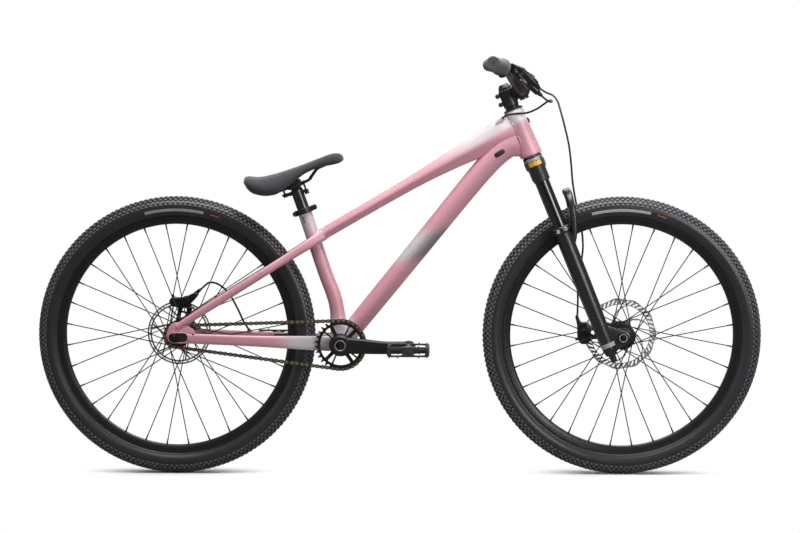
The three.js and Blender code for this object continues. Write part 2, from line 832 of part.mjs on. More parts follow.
// The welded frame, hollow in its two main tubes.
function frame() {
  const topTubeBow = 2 * topTubeHalfDepth;
  const topTube = (wall, shares = topTubeShares) =>
    frameTube(topTubeRear, topTubeFront, shares, topTubeHalfWidth, topTubeHalfDepth, topTubeBow, wall);
  const downTube = (wall, shares = downTubeShares) =>
    frameTube(bottomBracket, downTubeFront, shares, downTubeHalfWidth, downTubeHalfDepth, downTubeBow, wall);
  const headTube = moved(
    rod(headHeight(0), headHeight(headTubeLength), headTubeFootRadius, shaftSides, headTubeTopRadius),
    steeringPlace
  );
  const chainstay = stay(
    fromRear(chainstayRearAhead, 0, chainstayRearZ),
    fromRear(chainstayFrontAhead, 0, bottomBracket.z),
    chainstayShares, chainstayHalfHeight
  );
  const seatstay = stay(
    fromRear(seatstayRearAhead, 0, seatstayRearZ),
    fromRear(seatstayFrontAhead, 0, seatstayFrontZ),
    seatstayShares, stayHalfHeight
  );
  const side = join(chainstay, seatstay, dropout());
  const shell = cylinderY(bottomBracket.x, bottomBracket.z, -shellHalfWidth, shellHalfWidth, shellRadius);
  const posts = caliperPosts(rearCaliperPlace, rearPostLength);
  const entries = [frontEntry, rearEntry].map((ends) => rod(...ends, hosePortRadius, smallSides));
  const whole = join(
    headTube, topTube(0), downTube(0), seatTube(), shell, side, mirrored(side), ...posts, ...entries
  );
  return cut(whole, ...frameBores(topTube(frameWall, topTubeShares.slice(1, -1)),
    downTube(frameWall, downTubeShares.slice(1, -1))));
}

// What is bored out of the frame: the hollows, their vents, the seats and the port's pocket.
function frameBores(topHollow, downHollow) {
  const seat = (from, to, radius) => rod(headHeight(from), headHeight(to), radius);
  const head = join(
    seat(-overrun, headTubeLength + overrun, headBoreRadius),
    seat(-overrun, lowerBearingHeight + 2 * gap, lowerBearingRadius + gap),
    seat(headTubeLength - upperBearingHeight - 2 * gap, headTubeLength + overrun, upperBearingRadius + gap)
  );
  const post = rod(headHeight(-seatBoreDepth), headHeight(collarWidth), postRadius + gap);
  const topVent = rod(topTubeFront, topTubeFront.clone().lerp(topTubeRear, 0.2), ventRadius, smallSides);
  const downVentEnd = bottomBracket.clone().lerp(downTubeFront, 0.2);
  const downVent = rod(bottomBracket, downVentEnd, ventRadius, smallSides);
  const shell = shellHalfWidth + overrun;
  return [
    moved(head, steeringPlace), moved(post, seatPlace), topHollow, downHollow, topVent, downVent,
    cylinderY(bottomBracket.x, bottomBracket.z, -shell, shell, shellBoreRadius),
    plate(portShape(gap), -portFloor - 4 * portPlugThickness, -portFloor, arcSteps / 2),
  ];
}

const pitchRadiusOf = (teeth) => chainPitch / (2 * Math.sin(Math.PI / teeth));
const cupEnd = shellHalfWidth + gap + cupWidth;

// A toothed plate in X and Z, with its teeth on the chain's pitch.
function toothed(teeth) {
  const pitchRadius = pitchRadiusOf(teeth);
  const pitchTurn = (2 * Math.PI) / teeth;
  const tip = pitchRadius + toothHeight;
  const root = pitchRadius - toothDepth;
  const points = [];
  for (let k = 0; k < teeth; k++) {
    for (const [share, radius] of [[-0.28, root], [0, tip], [0.28, root]]) {
      const turn = (k + share) * pitchTurn;
      points.push([radius * Math.cos(turn), radius * Math.sin(turn)]);
    }
  }
  return outline(points);
}

function chainring() {
  const shape = toothed(chainringTeeth);
  const outer = pitchRadiusOf(chainringTeeth) - toothDepth - chainringRimWidth;
  const inner = chainringHubRadius + overrun;
  const turn = (2 * Math.PI) / chainringArms;
  for (let k = 0; k < chainringArms; k++) {
    const window = new THREE.Path();
    const from = (k - 0.38) * turn;
    const to = (k + 0.38) * turn;
    window.absarc(0, 0, outer, from, to, false);
    window.absarc(0, 0, inner, to - 0.1 * turn, from + 0.1 * turn, true);
    shape.holes.push(window);
  }
  const half = sprocketThickness / 2;
  const hub = cylinderY(0, 0, gap - crankBossInner, half + gap - chainOffset, chainringHubRadius);
  const body = join(plate(shape, -chainOffset - half, -chainOffset + half, arcSteps / 3), hub);
  return cut(body, cylinderY(0, 0, -crankBossInner - overrun, -cupEnd, spindleRadius + boreEase));
}

function rearCog() {
  const half = sprocketThickness / 2;
  const body = join(
    plate(toothed(cogTeeth), -chainOffset - half, -chainOffset + half),
    cylinderY(0, 0, -driverEnd, -chainOffset + 2 * half, cogBoreRadius + sprocketThickness)
  );
  const bore = cylinderY(0, 0, -driverEnd - overrun, overrun - chainOffset + 2 * half, cogBoreRadius);
  return cut(body, bore);
}

// The chain as one band, grooved where the teeth stand in it.
function chain() {
  const ringRadius = pitchRadiusOf(chainringTeeth);
  const cogRadius = pitchRadiusOf(cogTeeth);
  const loop = (offset) => link(
    rearAxle.x, rearAxle.z, cogRadius + offset, bottomBracket.x, bottomBracket.z, ringRadius + offset
  );
  const band = loop(chainHalfHeight);
  band.holes.push(new THREE.Path(loop(-chainHalfHeight).getPoints(chainWrapSteps)));
  const half = sprocketThickness / 2 + boreEase;
  const groove = (place, radius) => cylinderY(
    place.x, place.z, -chainOffset - half, -chainOffset + half, radius + toothHeight + 2 * gap, wheelSides
  );
  return cut(
    plate(band, -chainOffset - chainHalfWidth, -chainOffset + chainHalfWidth, chainWrapSteps),
    groove(rearAxle, cogRadius),
    groove(bottomBracket, ringRadius)
  );
}

// One crank arm pointing along X on the right side, with bores for the spindle and the pedal.
function crankArm() {
  const inset = crankOuter - 2 * crankHalfThickness;
  const shares = [[0, 0, 1.3, 1], [0.24, 0.15, 1.1, 0.98], [0.65, 0.7, 0.9, 0.88], [0.88, 0.95, 0.95, 0.85],
    [1, 1, 1, 0.85]];
  const nearBoss = (crankBossInner + crankBossOuter) / 2;
  const arm = loft(shares.map(([along, out, thick, high]) => [
    vector(crankLength * along, -mix(nearBoss, inset + crankHalfThickness, out), 0),
    crankHalfThickness * thick,
    crankHalfHeight * high,
  ]), smallSides, across);
  const boss = cylinderY(0, 0, -crankBossOuter, -crankBossInner, crankBossRadius);
  const end = cylinderY(crankLength, 0, -crankOuter, -inset, crankEndRadius);
  return cut(
    join(arm, boss, end),
    cylinderY(0, 0, -crankOuter - overrun, overrun - crankBossInner, spindleRadius + boreEase),
    cylinderY(crankLength, 0, -crankOuter - overrun, overrun - inset, pedalThreadRadius + boreEase)
  );
}

function pedalAxle() {
  const collar = crankOuter + gap;
  const from = crankOuter - 2 * crankHalfThickness + gap;
  const wide = pedalInner - gap;
  return turned([
    [0, pedalAxleInset - pedalOuter], [pedalAxleRadius, pedalAxleInset - pedalOuter],
    [pedalAxleRadius, -wide],
    [pedalThreadRadius + overrun, -wide], [pedalThreadRadius + overrun, -collar],
    [pedalThreadRadius, -collar], [pedalThreadRadius, -from], [0, -from],
  ]);
}

// A flat pedal with two windows on each side of its axle barrel.
function pedal() {
  const [low, high] = [-pedalOuter, -pedalInner];
  const cornerX = pedalHalfLength * 0.78;
  const cornerY = (high - low) * 0.16;
  const shape = outline([
    [-cornerX, low], [cornerX, low], [pedalHalfLength, low + cornerY], [pedalHalfLength, high - cornerY],
    [cornerX, high], [-cornerX, high], [-pedalHalfLength, high - cornerY], [-pedalHalfLength, low + cornerY],
  ]);
  for (const side of [-1, 1]) {
    const near = side * (pedalBarrelRadius + overrun);
    const far = side * (pedalHalfLength - pedalRailWidth);
    const corners = [[near, low + pedalRailWidth], [far, low + pedalRailWidth + cornerY / 2],
      [far, high - pedalRailWidth - cornerY / 2], [near, high - pedalRailWidth]];
    shape.holes.push(new THREE.Path(corners.map(([x, y]) => new THREE.Vector2(x, y))));
  }
  const depth = 2 * pedalHalfThickness;
  const platform = solid(new THREE.ExtrudeGeometry(shape, { depth, bevelEnabled: false }));
  const barrel = cylinderY(0, 0, low, high, pedalBarrelRadius);
  const bore = cylinderY(0, 0, low + pedalAxleInset - gap, high + overrun, pedalAxleRadius + boreEase);
  return cut(join(moved(platform, shift(0, 0, -pedalHalfThickness)), barrel), bore);
}

function bottomBracketCup() {
  const bore = runningBore(spindleRadius);
  const insert = shellBoreRadius - gap;
  const face = shellHalfWidth + gap;
  return ring([
    [bore, face - cupInsert], [insert, face - cupInsert], [insert, face], [cupRadius, face],
    [cupRadius, cupEnd], [bore, cupEnd],
  ]);
}

// Crown, steerer and stanchions, pressed together, along the steering axis.
const crownShares = [[-1, 0.8, 1.3], [-0.6, 0.8, 1], [0, 1.12, 1.06], [0.6, 0.8, 1], [1, 0.8, 1.3]];

function forkCrown() {
  const socketMiddle = (socketTop + socketFoot) / 2;
  const bridge = loft(crownShares.map(([side, deep, high]) => [
    vector(0, legSpacing * side, -mix(crownMiddle, socketMiddle, side * side)),
    crownHalfThickness * deep,
    crownHalfHeight * high,
  ]), smallSides, forward);
  const steerer = rod(headHeight(-crownMiddle), headHeight(steererTop), steererRadius);
  const race = rod(headHeight(-2 * crownRaceHeight), headHeight(-gap), crownRaceRadius);
  const legs = [];
  const hollows = [];
  for (const side of [-legSpacing, legSpacing]) {
    const at = (height) => vector(0, side, height);
    legs.push(rod(at(-socketFoot), at(-socketTop), socketRadius));
    legs.push(rod(at(-stanchionFoot), at(-socketMiddle), stanchionRadius));
    hollows.push(rod(at(-stanchionFoot - overrun), at(-socketFoot), stanchionRadius - stanchionWall));
  }
  return cut(join(bridge, steerer, race, ...legs), ...hollows);
}

// The arch between the lower legs as shares: forward, out to the leg and up towards its crest.
const archShares = [
  [0.25, 1, -0.35], [0.5, 1, -0.02], [0.72, 1, 0.4], [0.92, 0.88, 0.7], [0.98, 0.52, 0.94], [1, 0, 1],
];
// One lower leg as shares of its length and radii, from the foot up to its seal.
const legShares = [[0, 0.8, 0], [0.04, 1, 0], [0.12, 1, 0.2], [0.55, 1, 1]];

// Lower legs with their arch, axle lugs and the posts of the front caliper.
function forkLowers() {
  const length = lowerLegFoot - lowerLegTop;
  const bore = stanchionRadius + boreEase;
  const floor = lowerLegPastAxle + boreAboveAxle;
  const profile = [
    [0, -footNutHeight], [footNutRadius, -footNutHeight], [footNutRadius, 0],
    ...legShares.map(([along, size, wider]) =>
      [mix(lowerLegFootRadius * size, lowerLegRadius, wider), length * along]),
    [lowerLegRadius, length - sealHeight], [sealRadius, length - sealHeight + overrun],
    [sealRadius, length], [0, length],
  ];
  const pieces = caliperPosts(frontCaliperPlace, frontPostLength);
  const hollows = [];
  for (const side of [-1, 1]) {
    const foot = vector(0, side * legSpacing, -lowerLegFoot);
    const axis = between(foot, vector(0, side * legSpacing, 0));
    pieces.push(moved(turned(profile), axis));
    hollows.push(moved(rod(vector(0, floor, 0), vector(0, length + overrun, 0), bore), axis));
    const lug = link(0, -forkLength, lowerLegFootRadius * 0.85, forkOffset, -forkLength, lugRadius);
    const [low, high] = side > 0 ? [lugInner, lugOuter] : [-lugOuter, -lugInner];
    pieces.push(plate(lug, low, high, arcSteps / 2));
  }
  const half = archShares.map(([ahead, out, up]) =>
    vector(archForward * ahead, legSpacing * out, -mix(lowerLegTop, archRise, up)));
  const whole = [...half, ...half.slice(0, -1).reverse().map((place) => vector(place.x, -place.y, place.z))];
  pieces.push(loft(whole.map((place) => [place, archRadius, archRadius]), smallSides, forward));
  const reach = lugOuter + overrun;
  const axleBore = cylinderY(forkOffset, -forkLength, -reach, reach, frontAxleRadius + boreEase);
  return cut(join(...pieces), ...hollows, axleBore);
}

const frontAxleRod = () => join(
  cylinderY(0, 0, -lugOuter - axleHeadHeight, lugOuter + overrun, frontAxleRadius),
  cylinderY(0, 0, -lugOuter - axleHeadHeight, -lugOuter - gap, axleHeadRadius)
);

// Headset rings and the stem stack, each resting on the one below.
const coverFoot = headTubeLength + gap;
const spacerFoot = coverFoot + coverHeight + gap;
const stemFoot = spacerFoot + spacerHeight + gap;
const capFoot = stemFoot + stemHeight + gap;
const steererBore = steererRadius + boreEase;
const stackRing = (foot, height, radius) =>
  sleeve(headHeight(foot), headHeight(foot + height), radius, steererBore);

function stem() {
  const clamp = rod(headHeight(stemFoot), headHeight(stemFoot + stemHeight), stemClampRadius);
  const neck = loft([
    [vector(0, 0, stemFoot + stemHeight / 2), stemNeckHalfWidth, stemNeckHalfHeight],
    [vector(stemReach, 0, stemBarRise), stemNeckHalfWidth * 1.2, stemNeckHalfHeight],
  ], shaftSides, across);
  const barClamp = cylinderY(stemReach, stemBarRise, -stemBarHalfWidth, stemBarHalfWidth, stemBarRadius);
  const reach = clampBoltHalfLength;
  const bolts = [0.24, 0.76].map((share) => cylinderY(
    -stemClampRadius, stemFoot + stemHeight * share, -reach, reach, clampBoltRadius, smallSides
  ));
  const low = vector(stemReach + facePlateGap / 2, -stemBarHalfWidth * 2, stemBarRise - stemBarRadius * 2);
  const high = vector(stemReach + stemBarRadius * 2, stemBarHalfWidth * 2, stemBarRise + stemBarRadius * 2);
  const bore = rod(headHeight(stemFoot - overrun), headHeight(capFoot), steererBore);
  return cut(join(clamp, neck, barClamp, ...bolts), bore, barBore(), block(low, high));
}

const barBore = () => cylinderY(
  stemReach, stemBarRise, -stemBarHalfWidth * 2, stemBarHalfWidth * 2, barCentreRadius + boreEase
);

function facePlate() {
  const whole = cylinderY(stemReach, stemBarRise, -stemBarHalfWidth, stemBarHalfWidth, stemBarRadius);
  const low = vector(stemReach - stemBarRadius * 2, -stemBarHalfWidth * 2, stemBarRise - stemBarRadius * 2);
  const high = vector(stemReach + facePlateGap / 2, stemBarHalfWidth * 2, stemBarRise + stemBarRadius * 2);
  return cut(whole, barBore(), block(low, high));
}

function topCap() {
  const radius = stemClampRadius * 0.87;
  return moved(turned([
    [0, 0], [radius, 0], [radius, topCapHeight * 0.35], [topCapTopRadius, topCapHeight], [0, topCapHeight],
  ]), between(headHeight(capFoot), headHeight(capFoot + topCapHeight)));
}

// Handlebar as shares: out along its half width, up its rise, back, and from end to centre radius.
const barShares = [
  [0.09, 0, 0, 1], [0.15, 0.03, 0.02, 0.85], [0.22, 0.22, 0.1, 0.4], [0.3, 0.48, 0.18, 0.12],
  [0.38, 0.63, 0.25, 0], [0.47, 0.7, 0.31, 0],
];
const straightFrom = barShares[barShares.length - 1];

const barPlace = (out, up, back) =>
  vector(stemReach - barBack * back, -barHalfWidth * out, stemBarRise + barRise * up);

// A point on the straight outer stretch of the right half, by its distance from the middle.
function barPoint(distance) {
  const share = (distance / barHalfWidth - straightFrom[0]) / (1 - straightFrom[0]);
  return barPlace(distance / barHalfWidth, mix(straightFrom[1], 1, share), mix(straightFrom[2], 1, share));
}

function handlebar() {
  const half = [...barShares, [1, 1, 1, 0]].map(([out, up, back, thick]) =>
    [barPlace(out, up, back), mix(barEndRadius, barCentreRadius, thick)]);
  const other = half.map(([place, radius]) => [vector(place.x, -place.y, place.z), radius]).reverse();
  return loft([...other, ...half].map(([place, radius]) => [place, radius, radius]), shaftSides, forward);
}

function grip() {
  const end = barPoint(barHalfWidth);
  const start = barPoint(barHalfWidth - gripLength);
  const length = start.distanceTo(end) + gap;
  const bore = barEndRadius + 2 * boreEase;
  return moved(turned([
    [0, length], [bore, length], [bore, 0], [gripFlangeRadius, 0], [gripFlangeRadius, gripFlangeWidth],
    [gripRadius, gripFlangeWidth], [gripRadius, length + gripFlangeWidth], [0, length + gripFlangeWidth],
  ]), between(start, end));
}

// Directions at a brake lever: forward and down, inward along the bar, and up.
function leverTurn(slope) {
  const inward = barPoint(barHalfWidth / 2).sub(barPoint(barHalfWidth)).normalize();
  const angle = THREE.MathUtils.degToRad(slope + headTilt);
  const reach = vector(Math.cos(angle), 0, -Math.sin(angle));
  reach.addScaledVector(inward, -reach.dot(inward)).normalize();
  const up = reach.clone().cross(inward);
  return new THREE.Matrix4().makeBasis(reach, inward, up).setPosition(barPoint(leverPlace));
}

// Where a master cylinder's barrel starts and ends, in the lever's own directions.
const barrelStart = vector(masterStart, leverClampWidth / 3, leverRise);
const barrelEnd = vector(masterReach, masterInset, leverRise);
const barrelRun = barrelEnd.clone().sub(barrelStart).normalize();
const barrelPoint = (past) => barrelEnd.clone().addScaledVector(barrelRun, past);
// The reservoir's shell as shares of the barrel's length and of its own size.
const reservoirShares = [[0.12, 0.75], [0.45, 1], [0.84, 0.75]];

// Master cylinder, reservoir and clamp of one brake lever, with ears and a pin for the blade.
function masterCylinder() {
  const clampEnd = leverClampWidth / 2;
  const clamp = rod(vector(0, -clampEnd, 0), vector(0, clampEnd, 0), leverClampRadius);
  const barrel = rod(barrelStart, barrelEnd, masterRadius, smallSides, masterRadius * 0.8);
  const port = rod(barrelEnd, barrelPoint(leverPortLength), hosePortRadius, smallSides);
  const tank = loft(reservoirShares.map(([along, size]) => [
    barrelStart.clone().lerp(barrelEnd, along).add(headHeight(reservoirHeight)),
    reservoirHalfWidth * size,
    reservoirHeight * size,
  ]), smallSides, across);
  const ears = [-1, 1].map((side) => {
    const ear = link(
      leverPivotReach, 0, masterRadius * 0.6, leverPivotReach, -leverPivotOut, masterRadius * 0.59
    );
    const options = { depth: leverEarThickness, bevelEnabled: false, curveSegments: 2 };
    const middle = leverRise + side * (leverHalfThickness + gap + leverEarThickness / 2);
    return moved(solid(new THREE.ExtrudeGeometry(ear, options)), shift(0, 0, middle - leverEarThickness / 2));
  });
  const pin = leverPin(leverHalfThickness + leverEarThickness + overrun, leverPinRadius);
  const reach = 2 * leverClampWidth;
  const bore = rod(vector(0, -reach, 0), vector(0, reach, 0), barEndRadius + 2 * boreEase);
  return join(cut(join(clamp, barrel, port, tank, ...ears), bore), pin);
}

// The blade's pivot, or the hole for it, reaching as far above as below.
function leverPin(reach, radius) {
  const at = (height) => vector(leverPivotReach, -leverPivotOut, height);
  return rod(at(leverRise - reach), at(leverRise + reach), radius);
}

// The blade as shares of its reach, its span and its thickness.
const bladeShares = [
  [0, 0, 1.5], [0.6, 0.14, 1.4], [0.98, 0.34, 1.3], [0.98, 0.68, 1.15], [0.8, 0.9, 1.1], [0.93, 1, 1],
];

function leverBlade() {
  const blade = loft(bladeShares.map(([reach, out, size]) => [
    vector(mix(leverPivotReach, leverReach, reach), -leverPivotOut - leverSpan * out, leverRise),
    leverHalfThickness * size,
    leverHalfThickness * 0.9,
  ]), smallSides, forward);
  const eye = leverPin(leverHalfThickness, masterRadius * 0.6);
  return cut(join(blade, eye), leverPin(leverHalfThickness + overrun, leverPinRadius + boreEase));
}

// Seatpost with its barrel head, ears and two bolts, along the seat tube's axis.
function seatpost() {
  const tube = rod(headHeight(-postInsert), headHeight(postHeadRise), postRadius);
  const barrel = cylinderY(0, 0, -headBarrelHalfWidth, headBarrelHalfWidth, headBarrelRadius);
  const earFoot = headEarDrop + headEarThickness;
  const ears = block(
    vector(-headBoltRear - headBoltHeadRadius, -headEarHalfWidth, -earFoot),
    vector(headBoltFront + headBoltHeadRadius, headEarHalfWidth, -headEarDrop)
  );
  const bolts = [headBoltFront, -headBoltRear].flatMap((along) => {
    const at = (height) => vector(along, 0, height);
    const foot = -earFoot - headBoltHeadRadius;
    return [
      rod(at(foot), at(foot + headBoltLength), headBoltRadius, smallSides),
      rod(at(foot), at(-headEarDrop), headBoltHeadRadius, smallSides),
    ];
  });
  return join(tube, moved(join(barrel, ears, ...bolts), headPlace));
}

// The head's own directions, turned so that its Z is the saddle's.
const headPlace = new THREE.Matrix4()
  .makeRotationY(seatAngle - saddleAngle)
  .setPosition(headHeight(postHeadRise));

// Split collar round the top of the seat tube, with ears for its bolt behind.
function seatCollar() {
  const half = collarWidth / 2;
  const band = rod(headHeight(-half), headHeight(half), collarRadius);
  const earStart = collarRadius - collarEarLength / 2;
  const ears = block(
    vector(-earStart - collarEarLength, -collarEarHalfWidth, -half),
    vector(-earStart, collarEarHalfWidth, half)
  );
  const slot = block(
    vector(-2 * collarRadius, -collarSlot / 2, -collarWidth), vector(0, collarSlot / 2, collarWidth)
  );
  const bore = rod(headHeight(-collarWidth), headHeight(collarWidth), seatTubeRadius + boreEase);
  const reach = collarEarHalfWidth + overrun;
  const boltBore = cylinderY(-collarBoltBack, 0, -reach, reach, collarBoltRadius + boreEase, smallSides);
  return cut(join(band, ears), slot, bore, boltBore);
}

function collarBolt() {
  const seat = collarEarHalfWidth + gap;
  const end = seat + collarBoltHeadHeight;
  return join(
    cylinderY(-collarBoltBack, 0, -end, end, collarBoltRadius, smallSides),
    cylinderY(-collarBoltBack, 0, -end, -seat, collarBoltHeadRadius, smallSides),
    cylinderY(-collarBoltBack, 0, seat, end, collarBoltHeadRadius, smallSides)
  );
}

// Saddle rails as shares: out to the side, along and up, from the tail round the nose.
const railShares = [
  [1.2, -0.78, 5.5], [1.1, -0.57, 1.9], [1, -0.38, 1], [1, 0.26, 1], [0.97, 0.4, 2.2], [0.9, 0.56, 4.2],
  [0.72, 0.72, 5.2], [0.4, 0.86, 5.6], [0, 0.92, 5.6],
];

function saddleRails(radius = railRadius) {
  const half = railShares.map(([side, along, up]) =>
    vector(saddleBack * along, railSpacing * side, railHeight * up));
  const other = half.slice(0, -1).reverse().map((place) => vector(place.x, -place.y, place.z));
  return loft([...half, ...other].map((place) => [place, radius, radius]), smallSides, vector(0, 0, 1));
}

function railClamp() {
  const low = headBarrelRadius + gap;
  const bridge = block(
    vector(-clampHalfLength, -clampHalfWidth, low),
    vector(clampHalfLength, clampHalfWidth, low + clampTopThickness)
  );
  const inner = headBarrelHalfWidth + overrun;
  const foot = railHeight - clampCheekDepth;
  const cheek = (from, to) => block(
    vector(-clampHalfLength, from, foot), vector(clampHalfLength, to, low + clampTopThickness)
  );
  const body = join(bridge, cheek(-clampHalfWidth, -inner), cheek(inner, clampHalfWidth));
  return cut(body, saddleRails(railRadius + boreEase));
}

// Saddle cushion as shares along its length: half width, underside and top over the crown height.
const saddleShares = [
  [0, 0.5, 1.05, 1.2], [0.035, 0.83, 0.63, 1.34], [0.08, 0.94, 0.42, 1.26], [0.135, 1, 0.25, 1.14],
  [0.2, 0.98, 0.12, 1.05], [0.28, 0.92, 0.04, 1], [0.36, 0.8, 0.12, 0.97], [0.48, 0.62, 0.3, 0.95],
  [0.6, 0.48, 0.48, 0.94], [0.7, 0.4, 0.52, 0.95], [0.79, 0.36, 0.52, 0.96], [0.88, 0.33, 0.45, 0.95],
  [0.95, 0.3, 0.42, 0.87], [1, 0.1, 0.46, 0.62],
];
// The cushion's section as shares of its half width and of its height, from the crown down its side.
const sectionShares = [[0, 1], [0.42, 0.97], [0.76, 0.85], [0.97, 0.58], [1, 0.3], [0.92, 0]];

// One section of the cushion, with its underside arched.
function saddleRing([along, wide, low, high]) {
  const half = saddleHalfWidth * wide;
  const floor = saddleCrownHeight * low;
  const rise = saddleCrownHeight * (high - low);
  const arch = Math.min(rise * 0.45, half * 0.6);
  const side = sectionShares.map(([out, up]) => [half * out, floor + rise * up]);
  side.push([half * 0.55, floor + arch * 0.7], [0, floor + arch]);
  const other = side.slice(1, -1).reverse().map(([y, z]) => [-y, z]);
  return [...side, ...other].map(([y, z]) => [saddleLength * along - saddleBack, y, z]);
}

function saddleCushion() {
  const rings = saddleShares.map(saddleRing);
  return cut(skin(rings.flat(2), rings.length, rings[0].length), saddleRails(railRadius + gap));
}

// Brake hoses: the route of each is chosen by hand, between the ports at its two ends.
const frontHoseRoute = [
  [375, 208, 950], [385, 185, 946], [391, 150, 941], [395, 118, 935], [399, 90, 925], [404, 66, 905],
  [413, 50, 870], [424, 40, 820], [430, 36, 770], [434, 38, 725], [444, 46, 670], [456, 60, 620],
  [462, 75, 565], [457, 87, 515], [450, 89, 470], [450, 78, 432],
];
const rearHoseFrontRoute = [
  [363, -206, 932], [370, -185, 930], [374, -150, 931], [374, -110, 933], [369, -80, 932],
  [357, -55, 923], [340, -38, 911], [317, -31, 902], [293, -31, 900], [277, -28, 898], [268, -22, 896],
];
const rearHoseRearRoute = [
  [-393, 50, 375], [-404, 48, 400], [-418, 46, 428], [-434, 47, 452], [-458, 51, 470], [-480, 56, 473],
];

// A hose's end at a port: two points on the port's own line, clear of its face.
function atPort(face, direction) {
  return [gap, 3 * hoseRadius].map((past) => face.clone().addScaledVector(direction, past).toArray());
}

function caliperPort(place, tilt) {
  const face = portLine(tilt, hosePortLength).applyMatrix4(place);
  const foot = portLine(tilt, 0).applyMatrix4(place);
  return [face, face.clone().sub(foot).normalize()];
}

function entryPort([foot, mouth]) {
  return [mouth, mouth.clone().sub(foot).normalize()];
}

// The two ports of a brake lever and its place, in the bike's directions.
function leverPort(slope, side) {
  const place = steeringPlace.clone().multiply(leverTurn(slope));
  const [face, inner] = [leverPortLength, 0].map((past) => {
    const point = barrelPoint(past).applyMatrix4(place);
    return vector(point.x, point.y * side, point.z);
  });
  return [face, face.clone().sub(inner).normalize()];
}

const steeringFree = steeringPlace.clone().invert();
const frontHose = () => {
  const [face, direction] = caliperPort(steeringPlace.clone().multiply(frontCaliperPlace), frontPortTilt);
  const route = [...atPort(...leverPort(leftLeverSlope, -1)), ...frontHoseRoute,
    ...atPort(face, direction).reverse()];
  return moved(hose(route, frontHoseSteps), steeringFree);
};
const rearHoseFront = () => {
  const route = [...atPort(...leverPort(rightLeverSlope, 1)), ...rearHoseFrontRoute,
    ...atPort(...entryPort(frontEntry)).reverse()];
  return moved(hose(route, rearHoseSteps), steeringFree);
};
const rearHoseRear = () => hose([
  ...atPort(...entryPort(rearEntry)), ...rearHoseRearRoute,
  ...atPort(...caliperPort(rearCaliperPlace, rearPortTilt)).reverse(),
], caliperHoseSteps);

const rearHub = {
  bore: rearAxleRadius + boreEase,
  leftEnd: rearHubEnd,
  rightEnd: rearHubEnd,
  rotor: rearRotorOffset,
  flangeLeft: rearFlangeLeft,
  flangeRight: rearFlangeRight,
  driver: driverRadius,
  driverEnd,
};
const frontHub = {
  bore: frontAxleRadius + boreEase,
  leftEnd: frontHubEnd,
  rightEnd: frontHubEnd,
  rotor: frontRotorOffset,
  flangeLeft: frontFlangeLeft,
  flangeRight: frontFlangeRight,
  driver: hubShoulderRadius,
  driverEnd: frontHubShoulder,
};

function axleNut() {
  const nut = cylinderY(0, 0, axleNutInner, axleNutInner + axleNutHeight, axleNutRadius, axleNutSides);
  return cut(nut, cylinderY(0, 0, 0, 2 * axleNutInner, rearAxleRadius + boreEase));
}

// Adds a wheel's pieces to its group.
function addWheel(wheel, label, hub, rotorRadius, valveTurn) {
  const valveAngle = THREE.MathUtils.degToRad(valveTurn);
  add(wheel, `${label}_tyre`, tyre(), blackRubber);
  add(wheel, `${label}_inner_tube`, innerTube(valveAngle), blackRubber);
  add(wheel, `${label}_rim`, rim(valveAngle), blackAlloy);
  add(wheel, `${label}_hub_and_spokes`, hubAndSpokes(hub), blackAlloy);
  add(wheel, `${label}_brake_rotor`, rotor(rotorRadius, hub.rotor), steel);
}

// A group at a place, turned about Y.
function groupAt(parent, place, turn = 0) {
  const group = new THREE.Group();
  group.position.copy(place);
  group.rotation.y = turn;
  parent.add(group);
  return group;
}

const bike = new THREE.Group();

function addFrame() {
  add(bike, 'frame', frame(), pinkPaint);
  const steeringAxis = groupAt(bike, headFoot, -headAngle);
  const bearing = (foot, height, radius) =>
    sleeve(headHeight(foot), headHeight(foot + height), radius, runningBore(steererRadius));
  add(steeringAxis, 'head_bearing_lower', bearing(gap, lowerBearingHeight, lowerBearingRadius), steel);
  const upperFoot = headTubeLength - gap - upperBearingHeight;
  add(steeringAxis, 'head_bearing_upper', bearing(upperFoot, upperBearingHeight, upperBearingRadius), steel);
  const port = plate(portShape(0), -portFloor - gap - portPlugThickness, -portFloor - gap, arcSteps / 2);
  add(bike, 'cable_port_cover', port, blackPlastic);
  const shell = groupAt(bike, bottomBracket);
  add(shell, 'bb_cup_left', bottomBracketCup(), blackAlloy);
  add(shell, 'bb_cup_right', mirrored(bottomBracketCup()), blackAlloy);
  const axle = groupAt(bike, rearAxle);
  add(axle, 'rear_axle', cylinderY(0, 0, -rearAxleEnd, rearAxleEnd, rearAxleRadius), darkSteel);
  add(axle, 'rear_axle_nut_left', axleNut(), darkSteel);
  add(axle, 'rear_axle_nut_right', mirrored(axleNut()), darkSteel);
  add(bike, 'rear_brake_caliper', moved(caliper(rearPortTilt), rearCaliperPlace), blackAlloy);
  add(bike, 'rear_brake_pad_outer', moved(brakePad(1), rearCaliperPlace), darkSteel);
  add(bike, 'rear_brake_pad_inner', moved(brakePad(-1), rearCaliperPlace), darkSteel);
  add(bike, 'rear_brake_hose_rear', rearHoseRear(), blackRubber);
  add(bike, 'chain', chain(), darkSteel);
}

function addSeat() {
  const seat = groupAt(bike, collarCentre, -seatAngle);
  add(seat, 'seat_clamp', seatCollar(), blackAlloy);
  add(seat, 'seat_clamp_bolt', collarBolt(), darkSteel);
  add(seat, 'seatpost', seatpost(), blackAlloy);
  const saddle = groupAt(seat, headHeight(postHeadRise), seatAngle - saddleAngle);
  add(saddle, 'saddle_clamp', railClamp(), blackAlloy);
  add(saddle, 'saddle_rails', saddleRails(), darkSteel);
  add(saddle, 'saddle', saddleCushion(), textile);
}

